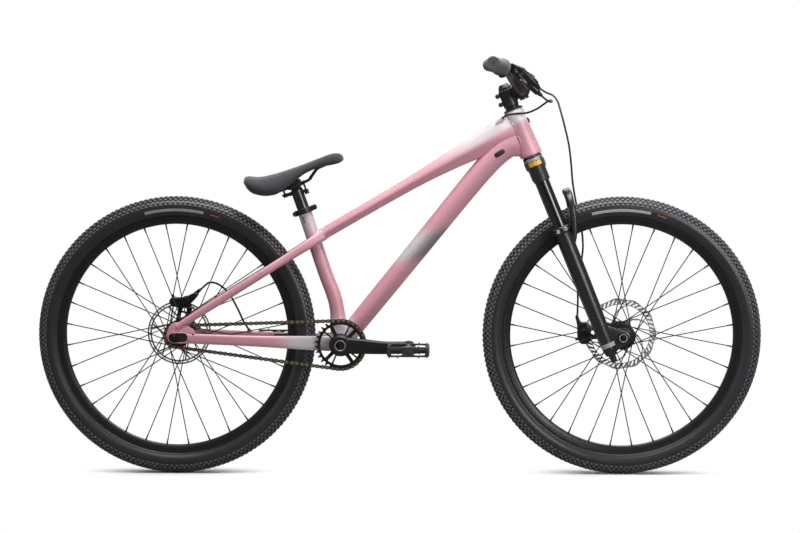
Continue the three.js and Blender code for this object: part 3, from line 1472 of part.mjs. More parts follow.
function addSteering() {
  const steering = groupAt(bike, headFoot, -headAngle);
  add(steering, 'fork_crown', forkCrown(), blackAlloy);
  add(steering, 'headset_cover', stackRing(coverFoot, coverHeight, coverRadius), blackAlloy);
  add(steering, 'headset_spacer', stackRing(spacerFoot, spacerHeight, spacerRadius), blackAlloy);
  add(steering, 'stem', stem(), blackAlloy);
  add(steering, 'stem_faceplate', facePlate(), blackAlloy);
  add(steering, 'stem_top_cap', topCap(), blackAlloy);
  add(steering, 'handlebar', handlebar(), blackAlloy);
  add(steering, 'grip_right', grip(), blackRubber);
  add(steering, 'grip_left', mirrored(grip()), blackRubber);
  const right = leverTurn(rightLeverSlope);
  const left = leverTurn(leftLeverSlope);
  add(steering, 'brake_master_right', moved(masterCylinder(), right), blackAlloy);
  add(steering, 'brake_master_left', mirrored(moved(masterCylinder(), left)), blackAlloy);
  add(steering, 'brake_lever_right', moved(leverBlade(), right), blackAlloy);
  add(steering, 'brake_lever_left', mirrored(moved(leverBlade(), left)), blackAlloy);
  add(steering, 'rear_brake_hose_front', rearHoseFront(), blackRubber);
  add(steering, 'front_brake_hose', frontHose(), blackRubber);
  add(steering, 'fork_lowers', forkLowers(), charcoal);
  add(steering, 'front_brake_caliper', moved(caliper(frontPortTilt), frontCaliperPlace), blackAlloy);
  add(steering, 'front_brake_pad_outer', moved(brakePad(1), frontCaliperPlace), darkSteel);
  add(steering, 'front_brake_pad_inner', moved(brakePad(-1), frontCaliperPlace), darkSteel);
  const wheel = groupAt(steering, forkAxle, headAngle);
  add(wheel, 'front_axle', frontAxleRod(), darkSteel);
  addWheel(wheel, 'front', frontHub, frontRotorRadius, frontValveTurn);
}

function addDrive() {
  const wheel = groupAt(bike, rearAxle);
  addWheel(wheel, 'rear', rearHub, rearRotorRadius, rearValveTurn);
  add(wheel, 'rear_cog', rearCog(), darkSteel);
  const tilt = THREE.MathUtils.degToRad(crankTilt);
  const cranks = groupAt(bike, bottomBracket, tilt);
  const spindle = sleeve(
    vector(0, -spindleEnd, 0), vector(0, spindleEnd, 0), spindleRadius, spindleRadius - spindleWall
  );
  add(cranks, 'crank_spindle', spindle, lightGrey);
  add(cranks, 'chainring', chainring(), blackAlloy);
  for (const [label, turn, place] of [['right', 0, (piece) => piece], ['left', Math.PI, mirrored]]) {
    const arm = groupAt(cranks, vector(0, 0, 0), turn);
    add(arm, `crank_arm_${label}`, place(crankArm()), blackAlloy);
    const end = groupAt(arm, forward.clone().multiplyScalar(crankLength), -turn - tilt);
    add(end, `pedal_axle_${label}`, place(pedalAxle()), darkSteel);
    add(end, `pedal_${label}`, place(pedal()), blackPlastic);
  }
}

addFrame();
addSeat();
addSteering();
addDrive();

export default bike;
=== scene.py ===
# A dirt jump bike: the looks of its pieces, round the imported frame. Lengths are in millimetres
# until piece() makes a mesh of them; +X is forward, +Y is the rider's left and +Z is up.
import math

import bmesh
import bpy
from mathutils import Matrix, Vector
from mathutils.bvhtree import BVHTree


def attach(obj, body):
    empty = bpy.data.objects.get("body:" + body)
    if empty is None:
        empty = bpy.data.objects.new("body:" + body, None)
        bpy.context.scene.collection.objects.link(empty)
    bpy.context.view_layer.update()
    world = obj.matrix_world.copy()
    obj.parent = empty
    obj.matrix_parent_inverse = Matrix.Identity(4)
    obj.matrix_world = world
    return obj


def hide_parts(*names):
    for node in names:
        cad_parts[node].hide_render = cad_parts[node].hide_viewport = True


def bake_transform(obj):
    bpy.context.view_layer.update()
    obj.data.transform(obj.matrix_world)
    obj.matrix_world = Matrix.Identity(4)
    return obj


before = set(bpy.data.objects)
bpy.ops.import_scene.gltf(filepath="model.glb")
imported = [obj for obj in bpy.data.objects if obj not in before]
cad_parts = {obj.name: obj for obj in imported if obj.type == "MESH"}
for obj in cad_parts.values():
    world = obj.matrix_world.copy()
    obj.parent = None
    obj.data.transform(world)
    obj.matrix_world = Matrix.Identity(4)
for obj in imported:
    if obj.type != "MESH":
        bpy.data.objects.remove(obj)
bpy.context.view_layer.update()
scene = bpy.context.scene

# Camera
# A long lens a little above the hubs, square to the chain side, as the bike was photographed.
camera_target = Vector((0.0025, 0.0, 0.5185))
camera_distance = 6.5
camera_turn = math.radians(1.2)
camera_rise = math.radians(4.05)
sensor_width = 36.0
picture_width = 800
lens_pixels = 2604
camera_data = bpy.data.cameras.new("studio_camera")
camera_data.sensor_width = sensor_width
camera_data.lens = sensor_width * lens_pixels / picture_width
camera = bpy.data.objects.new("studio_camera", camera_data)
scene.collection.objects.link(camera)
camera_back = Vector((
    math.sin(camera_turn) * math.cos(camera_rise),
    -math.cos(camera_turn) * math.cos(camera_rise),
    math.sin(camera_rise),
))
camera.location = camera_target + camera_back * camera_distance
camera.rotation_euler = (-camera_back).to_track_quat("-Z", "Y").to_euler()
scene.camera = camera
scene.view_settings.view_transform = "Standard"


# Studio
# A white floor that runs out to white, a long lamp overhead, one behind, a small one ahead of
# the bike, a narrow one to the left and a pale room.
class Wire:
    """A node's output in one material. Arithmetic on it adds Math nodes; node() adds any other."""

    def __init__(self, tree, socket=None):
        self.tree = tree
        self.socket = socket

    def node(self, kind, settings=None, sockets=None, out=0):
        made = self.tree.nodes.new(kind)
        for name, value in (settings or {}).items():
            if name == "stops":
                ramp = made.color_ramp.elements
                while len(ramp) < len(value):
                    ramp.new(1.0)
                for stop, (place, colour) in zip(ramp, value):
                    stop.position = place
                    stop.color = colour
            else:
                setattr(made, name, value)
        for name, value in (sockets or {}).items():
            if isinstance(value, Wire):
                self.tree.links.new(value.socket, made.inputs[name])
            else:
                made.inputs[name].default_value = value
        return Wire(self.tree, made.outputs[out]) if len(made.outputs) else None

    def maths(self, operation, first, second):
        return self.node("ShaderNodeMath", {"operation": operation}, {0: first, 1: second})

    def __add__(self, other):
        return self.maths("ADD", self, other)

    __radd__ = __add__

    def __sub__(self, other):
        return self.maths("SUBTRACT", self, other)

    def __rsub__(self, other):
        return self.maths("SUBTRACT", other, self)

    def __mul__(self, other):
        return self.maths("MULTIPLY", self, other)

    __rmul__ = __mul__

    def __truediv__(self, other):
        return self.maths("DIVIDE", self, other)

    def __pow__(self, other):
        return self.maths("POWER", self, other)


def start_look(name):
    look = bpy.data.materials.new(name)
    look.use_nodes = True
    look.node_tree.nodes.clear()
    return look, Wire(look.node_tree)


def end_look(look, wire, shader):
    wire.node("ShaderNodeOutputMaterial", {}, {"Surface": shader})
    return look


def smooth(wire, value, low, high):
    """0 below low, 1 above high, and a soft step between them."""
    sockets = {0: value, 1: low, 2: high, 3: 0.0, 4: 1.0}
    return wire.node("ShaderNodeMapRange", {"interpolation_type": "SMOOTHSTEP"}, sockets)


def place_of(wire):
    return wire.node("ShaderNodeTexCoord", {}, {}, out=3)


def vector_maths(wire, operation, first, second=None, out=0):
    sockets = {0: first} if second is None else {0: first, 1: second}
    return wire.node("ShaderNodeVectorMath", {"operation": operation}, sockets, out)


floor_size = 14.0
floor_fade_from = 0.07
floor_fade_to = 0.26
wheel_reach = (0.557, 0.0, 0.0)
floor_squash = (1.0, 2.2, 0.0)
floor_look, wire = start_look("studio_floor")
floor_side = vector_maths(wire, "ABSOLUTE", place_of(wire))
floor_side = vector_maths(wire, "SUBTRACT", floor_side, wheel_reach)
floor_side = vector_maths(wire, "MULTIPLY", floor_side, floor_squash)
floor_reach = vector_maths(wire, "LENGTH", floor_side, out=1)
seen = wire.node("ShaderNodeLightPath", {}, {}, out=0)
white_share = seen * smooth(wire, floor_reach, floor_fade_from, floor_fade_to)
pale = wire.node("ShaderNodeBsdfDiffuse", {}, {"Color": (0.9, 0.9, 0.9, 1.0)})
dull = wire.node("ShaderNodeBsdfDiffuse", {}, {"Color": (0.3, 0.3, 0.3, 1.0)})
matt = wire.node("ShaderNodeMixShader", {}, {0: seen, 1: dull, 2: pale})
glow = wire.node("ShaderNodeEmission", {}, {"Color": (1.0, 1.0, 1.0, 1.0), "Strength": 1.0})
end_look(floor_look, wire, wire.node("ShaderNodeMixShader", {}, {0: white_share, 1: matt, 2: glow}))
floor_mesh = bpy.data.meshes.new("studio_floor")
floor_corners = [(x * floor_size, y * floor_size, 0.0) for x, y in ((-1, -1), (1, -1), (1, 1), (-1, 1))]
floor_mesh.from_pydata(floor_corners, [], [(0, 1, 2, 3)])
floor_mesh.materials.append(floor_look)
floor = bpy.data.objects.new("studio_floor", floor_mesh)
scene.collection.objects.link(floor)

room = bpy.data.worlds.new("studio_room")
room.use_nodes = True
room.node_tree.nodes.clear()
wire = Wire(room.node_tree)
camera_ray, glossy_ray, clear_ray = (wire.node("ShaderNodeLightPath", {}, {}, out=k) for k in (0, 3, 6))
room_seen = wire.maths("MAXIMUM", wire.maths("MAXIMUM", camera_ray, glossy_ray * 0.26), clear_ray)
room_strength = 0.1 + room_seen * 0.9
backdrop = wire.node("ShaderNodeBackground", {}, {"Color": (1.0, 1.0, 1.0, 1.0), "Strength": room_strength})
wire.node("ShaderNodeOutputWorld", {}, {"Surface": backdrop})
scene.world = room


def lamp(name, place, aim, power, width, height, spread=180.0):
    data = bpy.data.lights.new(name, "AREA")
    data.shape = "RECTANGLE"
    data.size = width
    data.size_y = height
    data.energy = power
    data.spread = math.radians(spread)
    made = bpy.data.objects.new(name, data)
    scene.collection.objects.link(made)
    made.location = place
    made.rotation_euler = (Vector(aim) - Vector(place)).to_track_quat("-Z", "Y").to_euler()


bike_middle = (0.0, 0.0, 0.5)
lamp("overhead_lamp", (0.2, -0.5, 3.4), bike_middle, 160.0, 3.4, 1.0)
lamp("front_lamp", (1.75, -1.9, 1.45), (0.55, 0.0, 0.85), 4.8, 0.9, 1.5, 52.0)
lamp("left_lamp", (-2.9, -1.3, 1.1), bike_middle, 5.0, 0.4, 2.2)
lamp("back_lamp", (0.6, 2.8, 2.4), bike_middle, 30.0, 2.6, 1.2)


# Brake hoses
# Black nylon hoses with a pressed sleeve over each end. The front one hangs from its lever to
# the fork leg; the rear one goes into the top tube and comes out of the chainstay.
MM = 0.001


def skin(rings, closed=False):
    """Quads between rings of one count, with the two end rings filled unless the rings close."""
    count = len(rings[0])
    verts = [point for ring in rings for point in ring]
    faces = []
    for k in range(len(rings) if closed else len(rings) - 1):
        here = k * count
        there = (k + 1) % len(rings) * count
        for j in range(count):
            side = (j + 1) % count
            faces.append((here + j, here + side, there + side, there + j))
    if not closed:
        faces.append(tuple(reversed(range(count))))
        faces.append(tuple(range(len(verts) - count, len(verts))))
    return verts, faces


def joined(*parts):
    verts, faces = [], []
    for more_verts, more_faces in parts:
        first = len(verts)
        verts.extend(more_verts)
        faces.extend(tuple(first + corner for corner in face) for face in more_faces)
    return verts, faces


def curve_point(p, a, b, q, t):
    """A point between a and b on the smooth line that comes from p and goes on to q."""
    bend = a * 2 + (b - p) * t + (p * 2 - a * 5 + b * 4 - q) * t**2
    return (bend + (a * 3 - p - b * 3 + q) * t**3) / 2


def line_through(points, steps):
    """A smooth line through the given points."""
    points = [Vector(point) for point in points]
    ends = [points[0] * 2 - points[1], *points, points[-1] * 2 - points[-2]]
    line = []
    for four in zip(ends, ends[1:], ends[2:], ends[3:]):
        line += [curve_point(*four, step / steps) for step in range(steps)]
    return [*line, points[-1]]


def circle(radius, sides):
    turns = [2 * math.pi * (j + 0.5) / sides for j in range(sides)]
    return [(radius * math.cos(turn), radius * math.sin(turn)) for turn in turns]


def swept(line, sections, across=None):
    """A section carried along a line: one section for all of it, or one for each point.
    Its first direction keeps to across where that is given, and otherwise turns as little as it can."""
    if not isinstance(sections[0], list):
        sections = [sections] * len(line)
    rings = []
    side = Vector(across) if across else None
    for k, (point, outline) in enumerate(zip(line, sections)):
        ahead = (line[min(k + 1, len(line) - 1)] - line[max(k - 1, 0)]).normalized()
        if side is None:
            side = ahead.orthogonal()
        keep = Vector(across) if across else side
        side = (keep - ahead * keep.dot(ahead)).normalized()
        up = ahead.cross(side)
        rings.append([point + side * a + up * b for a, b in outline])
    return skin(rings)


def piece(name, part, look, body, slot, *nodes, sharp=30, bevel=0.0):
    """Makes a mesh of a part in millimetres, and says what it rides on and stands for."""
    mesh = bpy.data.meshes.new(name)
    mesh.from_pydata([Vector(point) * MM for point in part[0]], [], part[1])
    work = bmesh.new()
    work.from_mesh(mesh)
    bmesh.ops.remove_doubles(work, verts=work.verts, dist=1e-6)
    bmesh.ops.dissolve_degenerate(work, edges=work.edges, dist=1e-6)
    bmesh.ops.recalc_face_normals(work, faces=work.faces)
    if bevel:
        hard = [e for e in work.edges if e.is_manifold and e.calc_face_angle(0) > math.radians(sharp)]
        bmesh.ops.bevel(
            work, geom=hard, offset=bevel * MM, segments=2, profile=0.6,
            affect="EDGES", clamp_overlap=True,
        )
    work.to_mesh(mesh)
    work.free()
    mesh.shade_smooth()
    mesh.set_sharp_from_angle(angle=math.radians(sharp))
    mesh.materials.append(look)
    made = bpy.data.objects.new(name, mesh)
    scene.collection.objects.link(made)
    if body:
        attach(made, body)
    if nodes:
        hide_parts(*nodes)
    return made


def shaded(look, wire, sockets):
    return end_look(look, wire, wire.node("ShaderNodeBsdfPrincipled", {}, sockets))


def tone(red, green, blue):
    """A colour as it reads on a screen, 0 to 255, as Blender's linear values."""
    return (*[((value / 255 + 0.055) / 1.055) ** 2.4 for value in (red, green, blue)], 1.0)


def between(wire, mask, first, second):
    """The first colour where the mask is 0, the second where it is 1."""
    return wire.node("ShaderNodeMix", {"data_type": "RGBA"}, {0: mask, 6: first, 7: second}, out=2)


def grain(wire, scale, detail=3.0):
    sockets = {"Vector": place_of(wire), "Scale": scale, "Detail": detail}
    return wire.node("ShaderNodeTexNoise", {}, sockets)


def raised(wire, height, strength, depth):
    return wire.node("ShaderNodeBump", {}, {"Height": height, "Strength": strength, "Distance": depth})


def black_hose():
    look, wire = start_look("black_hose")
    speckle = grain(wire, 900.0)
    return shaded(look, wire, {
        "Base Color": between(wire, speckle, tone(22, 22, 23), tone(40, 40, 42)),
        "Roughness": 0.5 + speckle * 0.12,
        "Specular IOR Level": 0.3,
        "Normal": raised(wire, speckle, 0.15, 0.0002),
    })


hose_radius = 2.5
sleeve_radius = 3.6
front_hose_route = [
    (356, 218.5, 961.8), (362, 218, 957.8), (375, 208, 950), (385, 185, 946), (391, 150, 941),
    (395, 118, 935), (399, 90, 925), (404, 66, 905), (413, 50, 870), (424, 40, 820), (430, 36, 770),
    (434, 38, 725), (444, 46, 670), (456, 60, 620), (462, 75, 565), (457, 87, 515), (450, 89, 470),
    (450, 78, 432), (448, 56, 396), (446, 52, 389),
]
rear_hose_front_route = [
    (345.8, -217.6, 945.9), (351, -217, 941), (363, -206, 932), (370, -185, 930), (374, -150, 931),
    (374, -110, 933), (369, -80, 932), (357, -55, 923), (340, -38, 911), (317, -31, 902), (293, -31, 900),
    (277, -28, 898), (268, -22, 896), (261, -14, 892), (256, -13, 887),
]
rear_hose_rear_route = [
    (-380, 52, 354), (-384, 51, 361), (-393, 50, 375), (-404, 48, 400), (-418, 46, 428), (-434, 47, 452),
    (-458, 51, 470), (-480, 56, 473), (-497, 57, 460), (-503, 57, 455),
]


def hose(route):
    """The hose with a pressed sleeve over each of its ends."""
    line = line_through(route, 8)
    ends = [line[:4], line[-4:]]
    sleeves = [swept(end, circle(sleeve_radius, 16)) for end in ends]
    return joined(swept(line, circle(hose_radius, 12)), *sleeves)


hose_look = black_hose()
front_hose = piece("front_brake_hose_nylon", hose(front_hose_route), hose_look, None, "black_rubber",
                   sharp=38)
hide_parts("front_brake_hose")
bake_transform(front_hose)
rear_hose_front = piece(
    "rear_brake_hose_front_nylon", hose(rear_hose_front_route), hose_look, None, "black_rubber", sharp=38
)
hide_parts("rear_brake_hose_front")
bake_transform(rear_hose_front)
piece("rear_brake_hose_rear_nylon", hose(rear_hose_rear_route), hose_look, "frame", "black_rubber",
      "rear_brake_hose_rear", sharp=38)


# Tyres
# Black rubber tyres with many small tread blocks over a round casing, a ring of fine ribs on each
# side, a plain pale band and a thin brown one, and a bead that sits inside the rim's flanges.
axle_height = 347.0
rear_axle = Vector((-555.5, 0.0, axle_height))
front_axle = Vector((555.5, 0.0, axle_height))
wheels = (("front", "front_wheel", front_axle), ("rear", "rear_wheel", rear_axle))
casing_centre = 317.2
casing_radius = 27.2
wheel_steps = 180
tread_count = 168
tread_rows = [(7.5, 3.6, 3.0, 2.7), (23.0, 3.4, 2.9, 2.7), (38.5, 3.7, 2.8, 2.7), (54.0, 3.9, 3.0, 2.6),
              (68.0, 4.3, 2.2, 2.0)]
rib_angle = 81.0
rib_half = 1.2


def placed(part, matrix):
    return [matrix @ Vector(point) for point in part[0]], part[1]


def turned(profile, start=(0, 0, 0), axis=(0, 1, 0), sides=64, closed=False):
    """A profile of (radius, distance) pairs turned about an axis, closed on itself or ended on it."""
    turn = Vector((0, 0, 1)).rotation_difference(Vector(axis))
    spins = [2 * math.pi * k / sides for k in range(sides)]
    rings = [
        [Vector((r * math.cos(spin), r * math.sin(spin), d)) for spin in spins] for r, d in profile
    ]
    part = skin(rings, closed)
    return placed(part, Matrix.Translation(start) @ turn.to_matrix().to_4x4())


def on_casing(angle, height=0.0):
    """Radius and side place on the casing, by the angle from the crown in degrees."""
    turn = math.radians(angle)
    reach = casing_radius + height
    return casing_centre + reach * math.cos(turn), reach * math.sin(turn)


def tyre_casing():
    bead = [(293.2, 12.6), (296.6, 14.0), (298.6, 16.2), (300.0, 17.9), (300.6, 18.9), (301.6, 19.3),
            (302.4, 19.8), (306.4, 23.2), (311.4, 25.9)]
    wall = [on_casing(angle) for angle in (90, 85, 81.8, 81.4, 76, 70, 64, 56, 48, 40, 30, 20, 10)]
    half = [*bead, *wall]
    inner = [(341.0, 0.0), (335.0, 16.0), (317.0, 24.0), (300.0, 13.6), (293.0, 9.8)]
    outside = [(r, -y) for r, y in half] + [on_casing(0)] + half[::-1]
    inside = inner[::-1] + [(r, -y) for r, y in inner[1:]]
    return turned([*outside, *inside], sides=wheel_steps, closed=True)


def tread_block(spin, angle, half_long, half_wide, height, skew=0.0):
    """One tapered block that stands on the casing."""
    out = Vector((math.cos(spin), 0, math.sin(spin)))
    ahead = Vector((-math.sin(spin), 0, math.cos(spin)))
    lean = math.radians(angle)
    side = Vector((0, 1, 0))
    up = out * math.cos(lean) + side * math.sin(lean)
    across = side * math.cos(lean) - out * math.sin(lean)
    radius, offset = on_casing(angle, -0.6)
    foot = out * radius + side * offset
    verts = []
    for rise, size in ((0.0, 1.0), (height + 0.6, 0.8)):
        for a, b in ((-1, -1), (1, -1), (1, 1), (-1, 1)):
            along = ahead * half_long * size * a + ahead * skew * b
            verts.append(foot + up * rise + along + across * half_wide * size * b)
    sides = [(k, (k + 1) % 4, (k + 1) % 4 + 4, k + 4) for k in range(4)]
    return verts, [(0, 3, 2, 1), (4, 5, 6, 7), *sides]


def tyre_blocks():
    blocks = []
    for row, (angle, half_long, half_wide, height) in enumerate(tread_rows):
        for k in range(tread_count):
            spin = 2 * math.pi * (k + 0.5 * (row % 2)) / tread_count
            for side in (-1, 1):
                skew = side * (0.7 if row % 2 else -0.7)
                blocks.append(tread_block(spin, side * angle, half_long, half_wide, height, skew))
    return joined(*blocks)


def tyre_ribs():
    ribs = []
    for k in range(2 * tread_count):
        for side in (-1, 1):
            spin = math.pi * k / tread_count
            ribs.append(tread_block(spin, side * rib_angle, rib_half, 1.6, 0.5))
    return joined(*ribs)


def axes_of(wire, vector):
    parts = wire.node("ShaderNodeSeparateXYZ", {}, {"Vector": vector})
    return [Wire(wire.tree, output) for output in parts.socket.node.outputs]


def tyre_rubber(name, centre):
    look, wire = start_look(name)
    x, y, z = axes_of(wire, vector_maths(wire, "SUBTRACT", place_of(wire), tuple(centre * MM)))
    radius = (x * x + z * z) ** 0.5
    tread = smooth(wire, radius, 0.3325, 0.3345)
    angle = wire.maths("ARCTAN2", z, x)
    band = smooth(wire, radius, 0.3098, 0.3102) * (1 - smooth(wire, radius, 0.3168, 0.3172))
    long_arc = smooth(wire, angle, 1.345, 1.350) * (1 - smooth(wire, angle, 1.815, 1.820))
    short_arc = smooth(wire, angle, 1.215, 1.218) * (1 - smooth(wire, angle, 1.290, 1.293))
    near_side = 1 - smooth(wire, y, -0.002, 0.002)
    thin = smooth(wire, radius, 0.3120, 0.3123) * (1 - smooth(wire, radius, 0.3148, 0.3151))
    speck = grain(wire, 420.0, 4.0)
    dust = grain(wire, 26.0, 3.0)
    colour = between(wire, speck * 0.6 + dust * 0.4, tone(30, 29, 32), tone(50, 49, 53))
    # The casing across the tread is a darker black than the sidewall: painted shade in the gaps between the
    # tread blocks.
    colour = between(wire, tread, colour, tone(20, 19, 21))
    colour = between(wire, band * long_arc * near_side * 0.72, colour, tone(196, 196, 198))
    colour = between(wire, thin * short_arc * near_side * 0.7, colour, tone(190, 120, 84))
    return shaded(look, wire, {
        "Base Color": colour,
        "Roughness": 0.42 - 0.1 * speck,
        "Specular IOR Level": 0.42,
        "Normal": raised(wire, speck, 0.25, 0.0003),
    })


# The blocks are the tyre's black rubber painted a lighter grey than the casing: a painted highlight on the
# blocks, mottled by noise.
def block_rubber():
    look, wire = start_look("tread_block_rubber_painted_highlight")
    speck = grain(wire, 300.0, 3.0)
    dust = grain(wire, 18.0, 3.0)
    return shaded(look, wire, {
        "Base Color": between(wire, speck * 0.5 + dust * 0.5, tone(66, 65, 69), tone(112, 110, 115)),
        "Roughness": 0.52,
        "Normal": raised(wire, speck, 0.2, 0.0003),
    })


block_look = block_rubber()
casing_part, blocks_part = joined(tyre_casing(), tyre_ribs()), tyre_blocks()
for label, body, axle in wheels:
    piece(f"{label}_tyre_casing", placed(casing_part, Matrix.Translation(axle)),
          tyre_rubber(f"{label}_tyre_rubber", axle), body, "tyre", f"{label}_tyre")
    piece(f"{label}_tyre_blocks", placed(blocks_part, Matrix.Translation(axle)), block_look, body, "tyre")


# Rims, inner tubes and valves
# Black box-section aluminium rims with a fine step turned into each side, and a threaded
# steel valve with a black cap that comes through the bed.
def rim_section():
    half = [
        (277.5, 3.0), (277.7, 6.5), (278.8, 9.0), (281.0, 10.7), (288.0, 13.0), (288.35, 12.35),
        (288.75, 12.35), (289.1, 13.4), (295.6, 15.45), (296.8, 15.5), (297.5, 15.0), (297.4, 14.0),
        (296.6, 13.4), (292.2, 13.2), (291.9, 12.0),
    ]
    return turned([*half, *[(r, -y) for r, y in half[::-1]]], sides=wheel_steps, closed=True)


def valve(angle):
    """The valve's stem with its thread, nut and cap, from the rim bed towards the hub."""
    turn = math.radians(angle)
    out = Vector((math.cos(turn), 0, math.sin(turn)))
    foot = 277.0
    profile = [(0, -2), (4.6, -2), (4.6, 1.6), (3.0, 1.8)]
    for k in range(16):
        profile += [(3.0, 2.0 + k), (2.7, 2.5 + k)]
    profile += [(3.0, 18.2), (3.5, 18.4), (3.6, 31.0), (2.8, 33.0), (0, 33.0)]
    return turned(profile, out * foot, -out, 20)


def black_alloy(name, dark=(17, 17, 18), light=(34, 34, 36), roughness=0.36, metallic=0.35):
    """Anodised aluminium: near black, with a fine grain and slightly uneven gloss."""
    look, wire = start_look(name)
    fine = grain(wire, 700.0, 2.0)
    broad = grain(wire, 18.0, 3.0)
    return shaded(look, wire, {
        "Base Color": between(wire, fine * 0.5 + broad * 0.5, tone(*dark), tone(*light)),
        "Metallic": metallic,
        "Roughness": roughness - 0.08 + 0.16 * broad,
        "Normal": raised(wire, fine, 0.08, 0.0001),
    })


def plain_steel(name, dark, light, roughness=0.32, metallic=0.9, scale=600.0):
    look, wire = start_look(name)
    fine = grain(wire, scale, 2.0)
    broad = grain(wire, 30.0, 3.0)
    return shaded(look, wire, {
        "Base Color": between(wire, fine * 0.6 + broad * 0.4, tone(*dark), tone(*light)),
        "Metallic": metallic,
        "Roughness": roughness - 0.06 + 0.14 * fine,
        "Normal": raised(wire, fine, 0.1, 0.0001),
    })


rim_look = black_alloy("rim_black", (16, 15, 15), (30, 29, 29), 0.34, 0.3)
valve_look = plain_steel("valve_steel", (52, 50, 48), (92, 88, 84))
valve_angles = {"front": 123.75, "rear": 0.0}
rim_part = rim_section()
for label, body, axle in wheels:
    seat = Matrix.Translation(axle)
    piece(f"{label}_rim_alloy", placed(rim_part, seat), rim_look, body, "black_alloy", f"{label}_rim",
          sharp=24)
    piece(f"{label}_valve", placed(valve(valve_angles[label]), seat), valve_look, body, "black_rubber")


# Hubs and spokes
# Each wheel has 32 black steel spokes crossed three times, with a head in the hub flange and
# a black nipple at the rim. The hub shells are turned aluminium, anodised black.
spoke_count = 32
spoke_circle = 29.0
spoke_radius = 1.3
cross_angle = 67.5
flange_thickness = 3.2
spoke_end = 276.5


def rod(start, end, radius, sides):
    return swept([Vector(start), Vector(end)], circle(radius, sides))


def spoke(index, flange_left, flange_right):
    """One spoke with its head, elbow and nipple, crossed as the CAD's are."""
    angle = 2 * math.pi * (index + 0.5) / spoke_count
    lean = 1 if index // 2 % 2 else -1
    left = index % 2 == 0
    flange = flange_left if left else -flange_right
    hub_angle = angle + lean * math.radians(cross_angle)
    hub_point = Vector((spoke_circle * math.cos(hub_angle), flange, spoke_circle * math.sin(hub_angle)))
    outer = Vector((0, lean, 0))
    rim_side = 2.0 if left else -2.0
    rim_end = Vector((spoke_end * math.cos(angle), rim_side, spoke_end * math.sin(angle)))
    elbow = hub_point + outer * flange_thickness * 0.75
    run = (rim_end - elbow).normalized()
    line = [hub_point - outer * 2.4, hub_point, elbow - outer * 0.5, elbow + run * 1.2, elbow + run * 8,
            rim_end]
    head = rod(hub_point - outer * 3.0, hub_point - outer * 1.6, 2.1, 10)
    barrel = [(0, -13), (1.5, -13), (1.75, -12), (1.75, -5), (2.1, -4.6), (2.1, 1.5), (0, 1.5)]
    nipple = turned(barrel, rim_end, run, 10)
    return joined(swept(line, circle(spoke_radius, 7)), head, nipple)


def rounded(profile, radius, steps=3):
    """A profile with the corners between its two ends rounded off."""
    out = [profile[0]]
    for before, corner, after in zip(profile, profile[1:], profile[2:]):
        a, b, c = Vector(before), Vector(corner), Vector(after)
        cut = min(radius, (a - b).length / 2.1, (c - b).length / 2.1)
        near = b + (a - b).normalized() * cut if (a - b).length else b
        far = b + (c - b).normalized() * cut if (c - b).length else b
        for step in range(steps + 1):
            t = step / steps
            out.append(tuple(near * (1 - t) ** 2 + b * 2 * t * (1 - t) + far * t**2))
    return [*out, profile[-1]]


def hub_shell(left_end, right_end, left_flange, right_flange, rotor_side, driver, driver_end, bore):
    half = flange_thickness / 2
    profile = rounded([
        (bore, left_end), (13, left_end), (13, rotor_side + 3.5), (21.4, rotor_side + 3.5),
        (21.4, rotor_side - 0.4), (27, rotor_side - 0.4), (20, left_flange + 5), (21, left_flange + half),
        (33, left_flange + half), (33, left_flange - half), (22, left_flange - half), (15, left_flange - 8),
        (13.5, 0), (15, 8 - right_flange), (22, half - right_flange), (33, half - right_flange),
        (33, -right_flange - half), (driver + 2, -right_flange - half), (driver, -right_flange - 4),
        (driver, -driver_end), (13, -driver_end), (13, -right_end), (bore, -right_end),
    ], 1.2, 2)
    return turned([*profile, profile[0]], sides=72)


def seal_ring(outer, side):
    """A dust seal pressed into a hub's end."""
    low, high = side, side + (1.5 if side > 0 else -1.5)
    return turned([(outer - 4, low), (outer + 1.5, low), (outer + 1, high), (outer - 3.5, high),
                   (outer - 4, low)], sides=48)


spoke_look = black_alloy("spoke_black", (26, 26, 27), (44, 44, 46), 0.42, 0.5)
hub_look = black_alloy("hub_black", (15, 15, 16), (30, 30, 32), 0.3, 0.4)
# Left end, right end, both flanges, rotor seat, driver's radius and end, and bore.
hub_sizes = {
    "front": (54.7, 54.7, 25.0, 34.0, 42.0, 20.0, 40.0, 10.4),
    "rear": (67.2, 67.2, 30.0, 24.0, 47.0, 16.4, 56.0, 5.4),
}
for label, body, axle in wheels:
    sizes = hub_sizes[label]
    spokes = joined(*[spoke(index, sizes[2], sizes[3]) for index in range(spoke_count)])
    shell = joined(hub_shell(*sizes), seal_ring(12, sizes[0] - 1), seal_ring(12, 1 - sizes[1]))
    seat = Matrix.Translation(axle)
    piece(f"{label}_spokes", placed(spokes, seat), spoke_look, body, "black_alloy", sharp=40)
    piece(f"{label}_hub_shell", placed(shell, seat), hub_look, body, "black_alloy",
          f"{label}_hub_and_spokes")


# Brake rotors
# Stamped steel discs. The front one has a wavy edge, slanted slots and a black carrier; the
# rear one has two fine rings on straight arms. Six bolts hold each to its hub.
rotor_thickness = 1.8
front_rotor_side = 42.0
rear_rotor_side = 47.0
carrier_sizes = {"front": (front_rotor_side, 38.0), "rear": (rear_rotor_side, 33.0)}


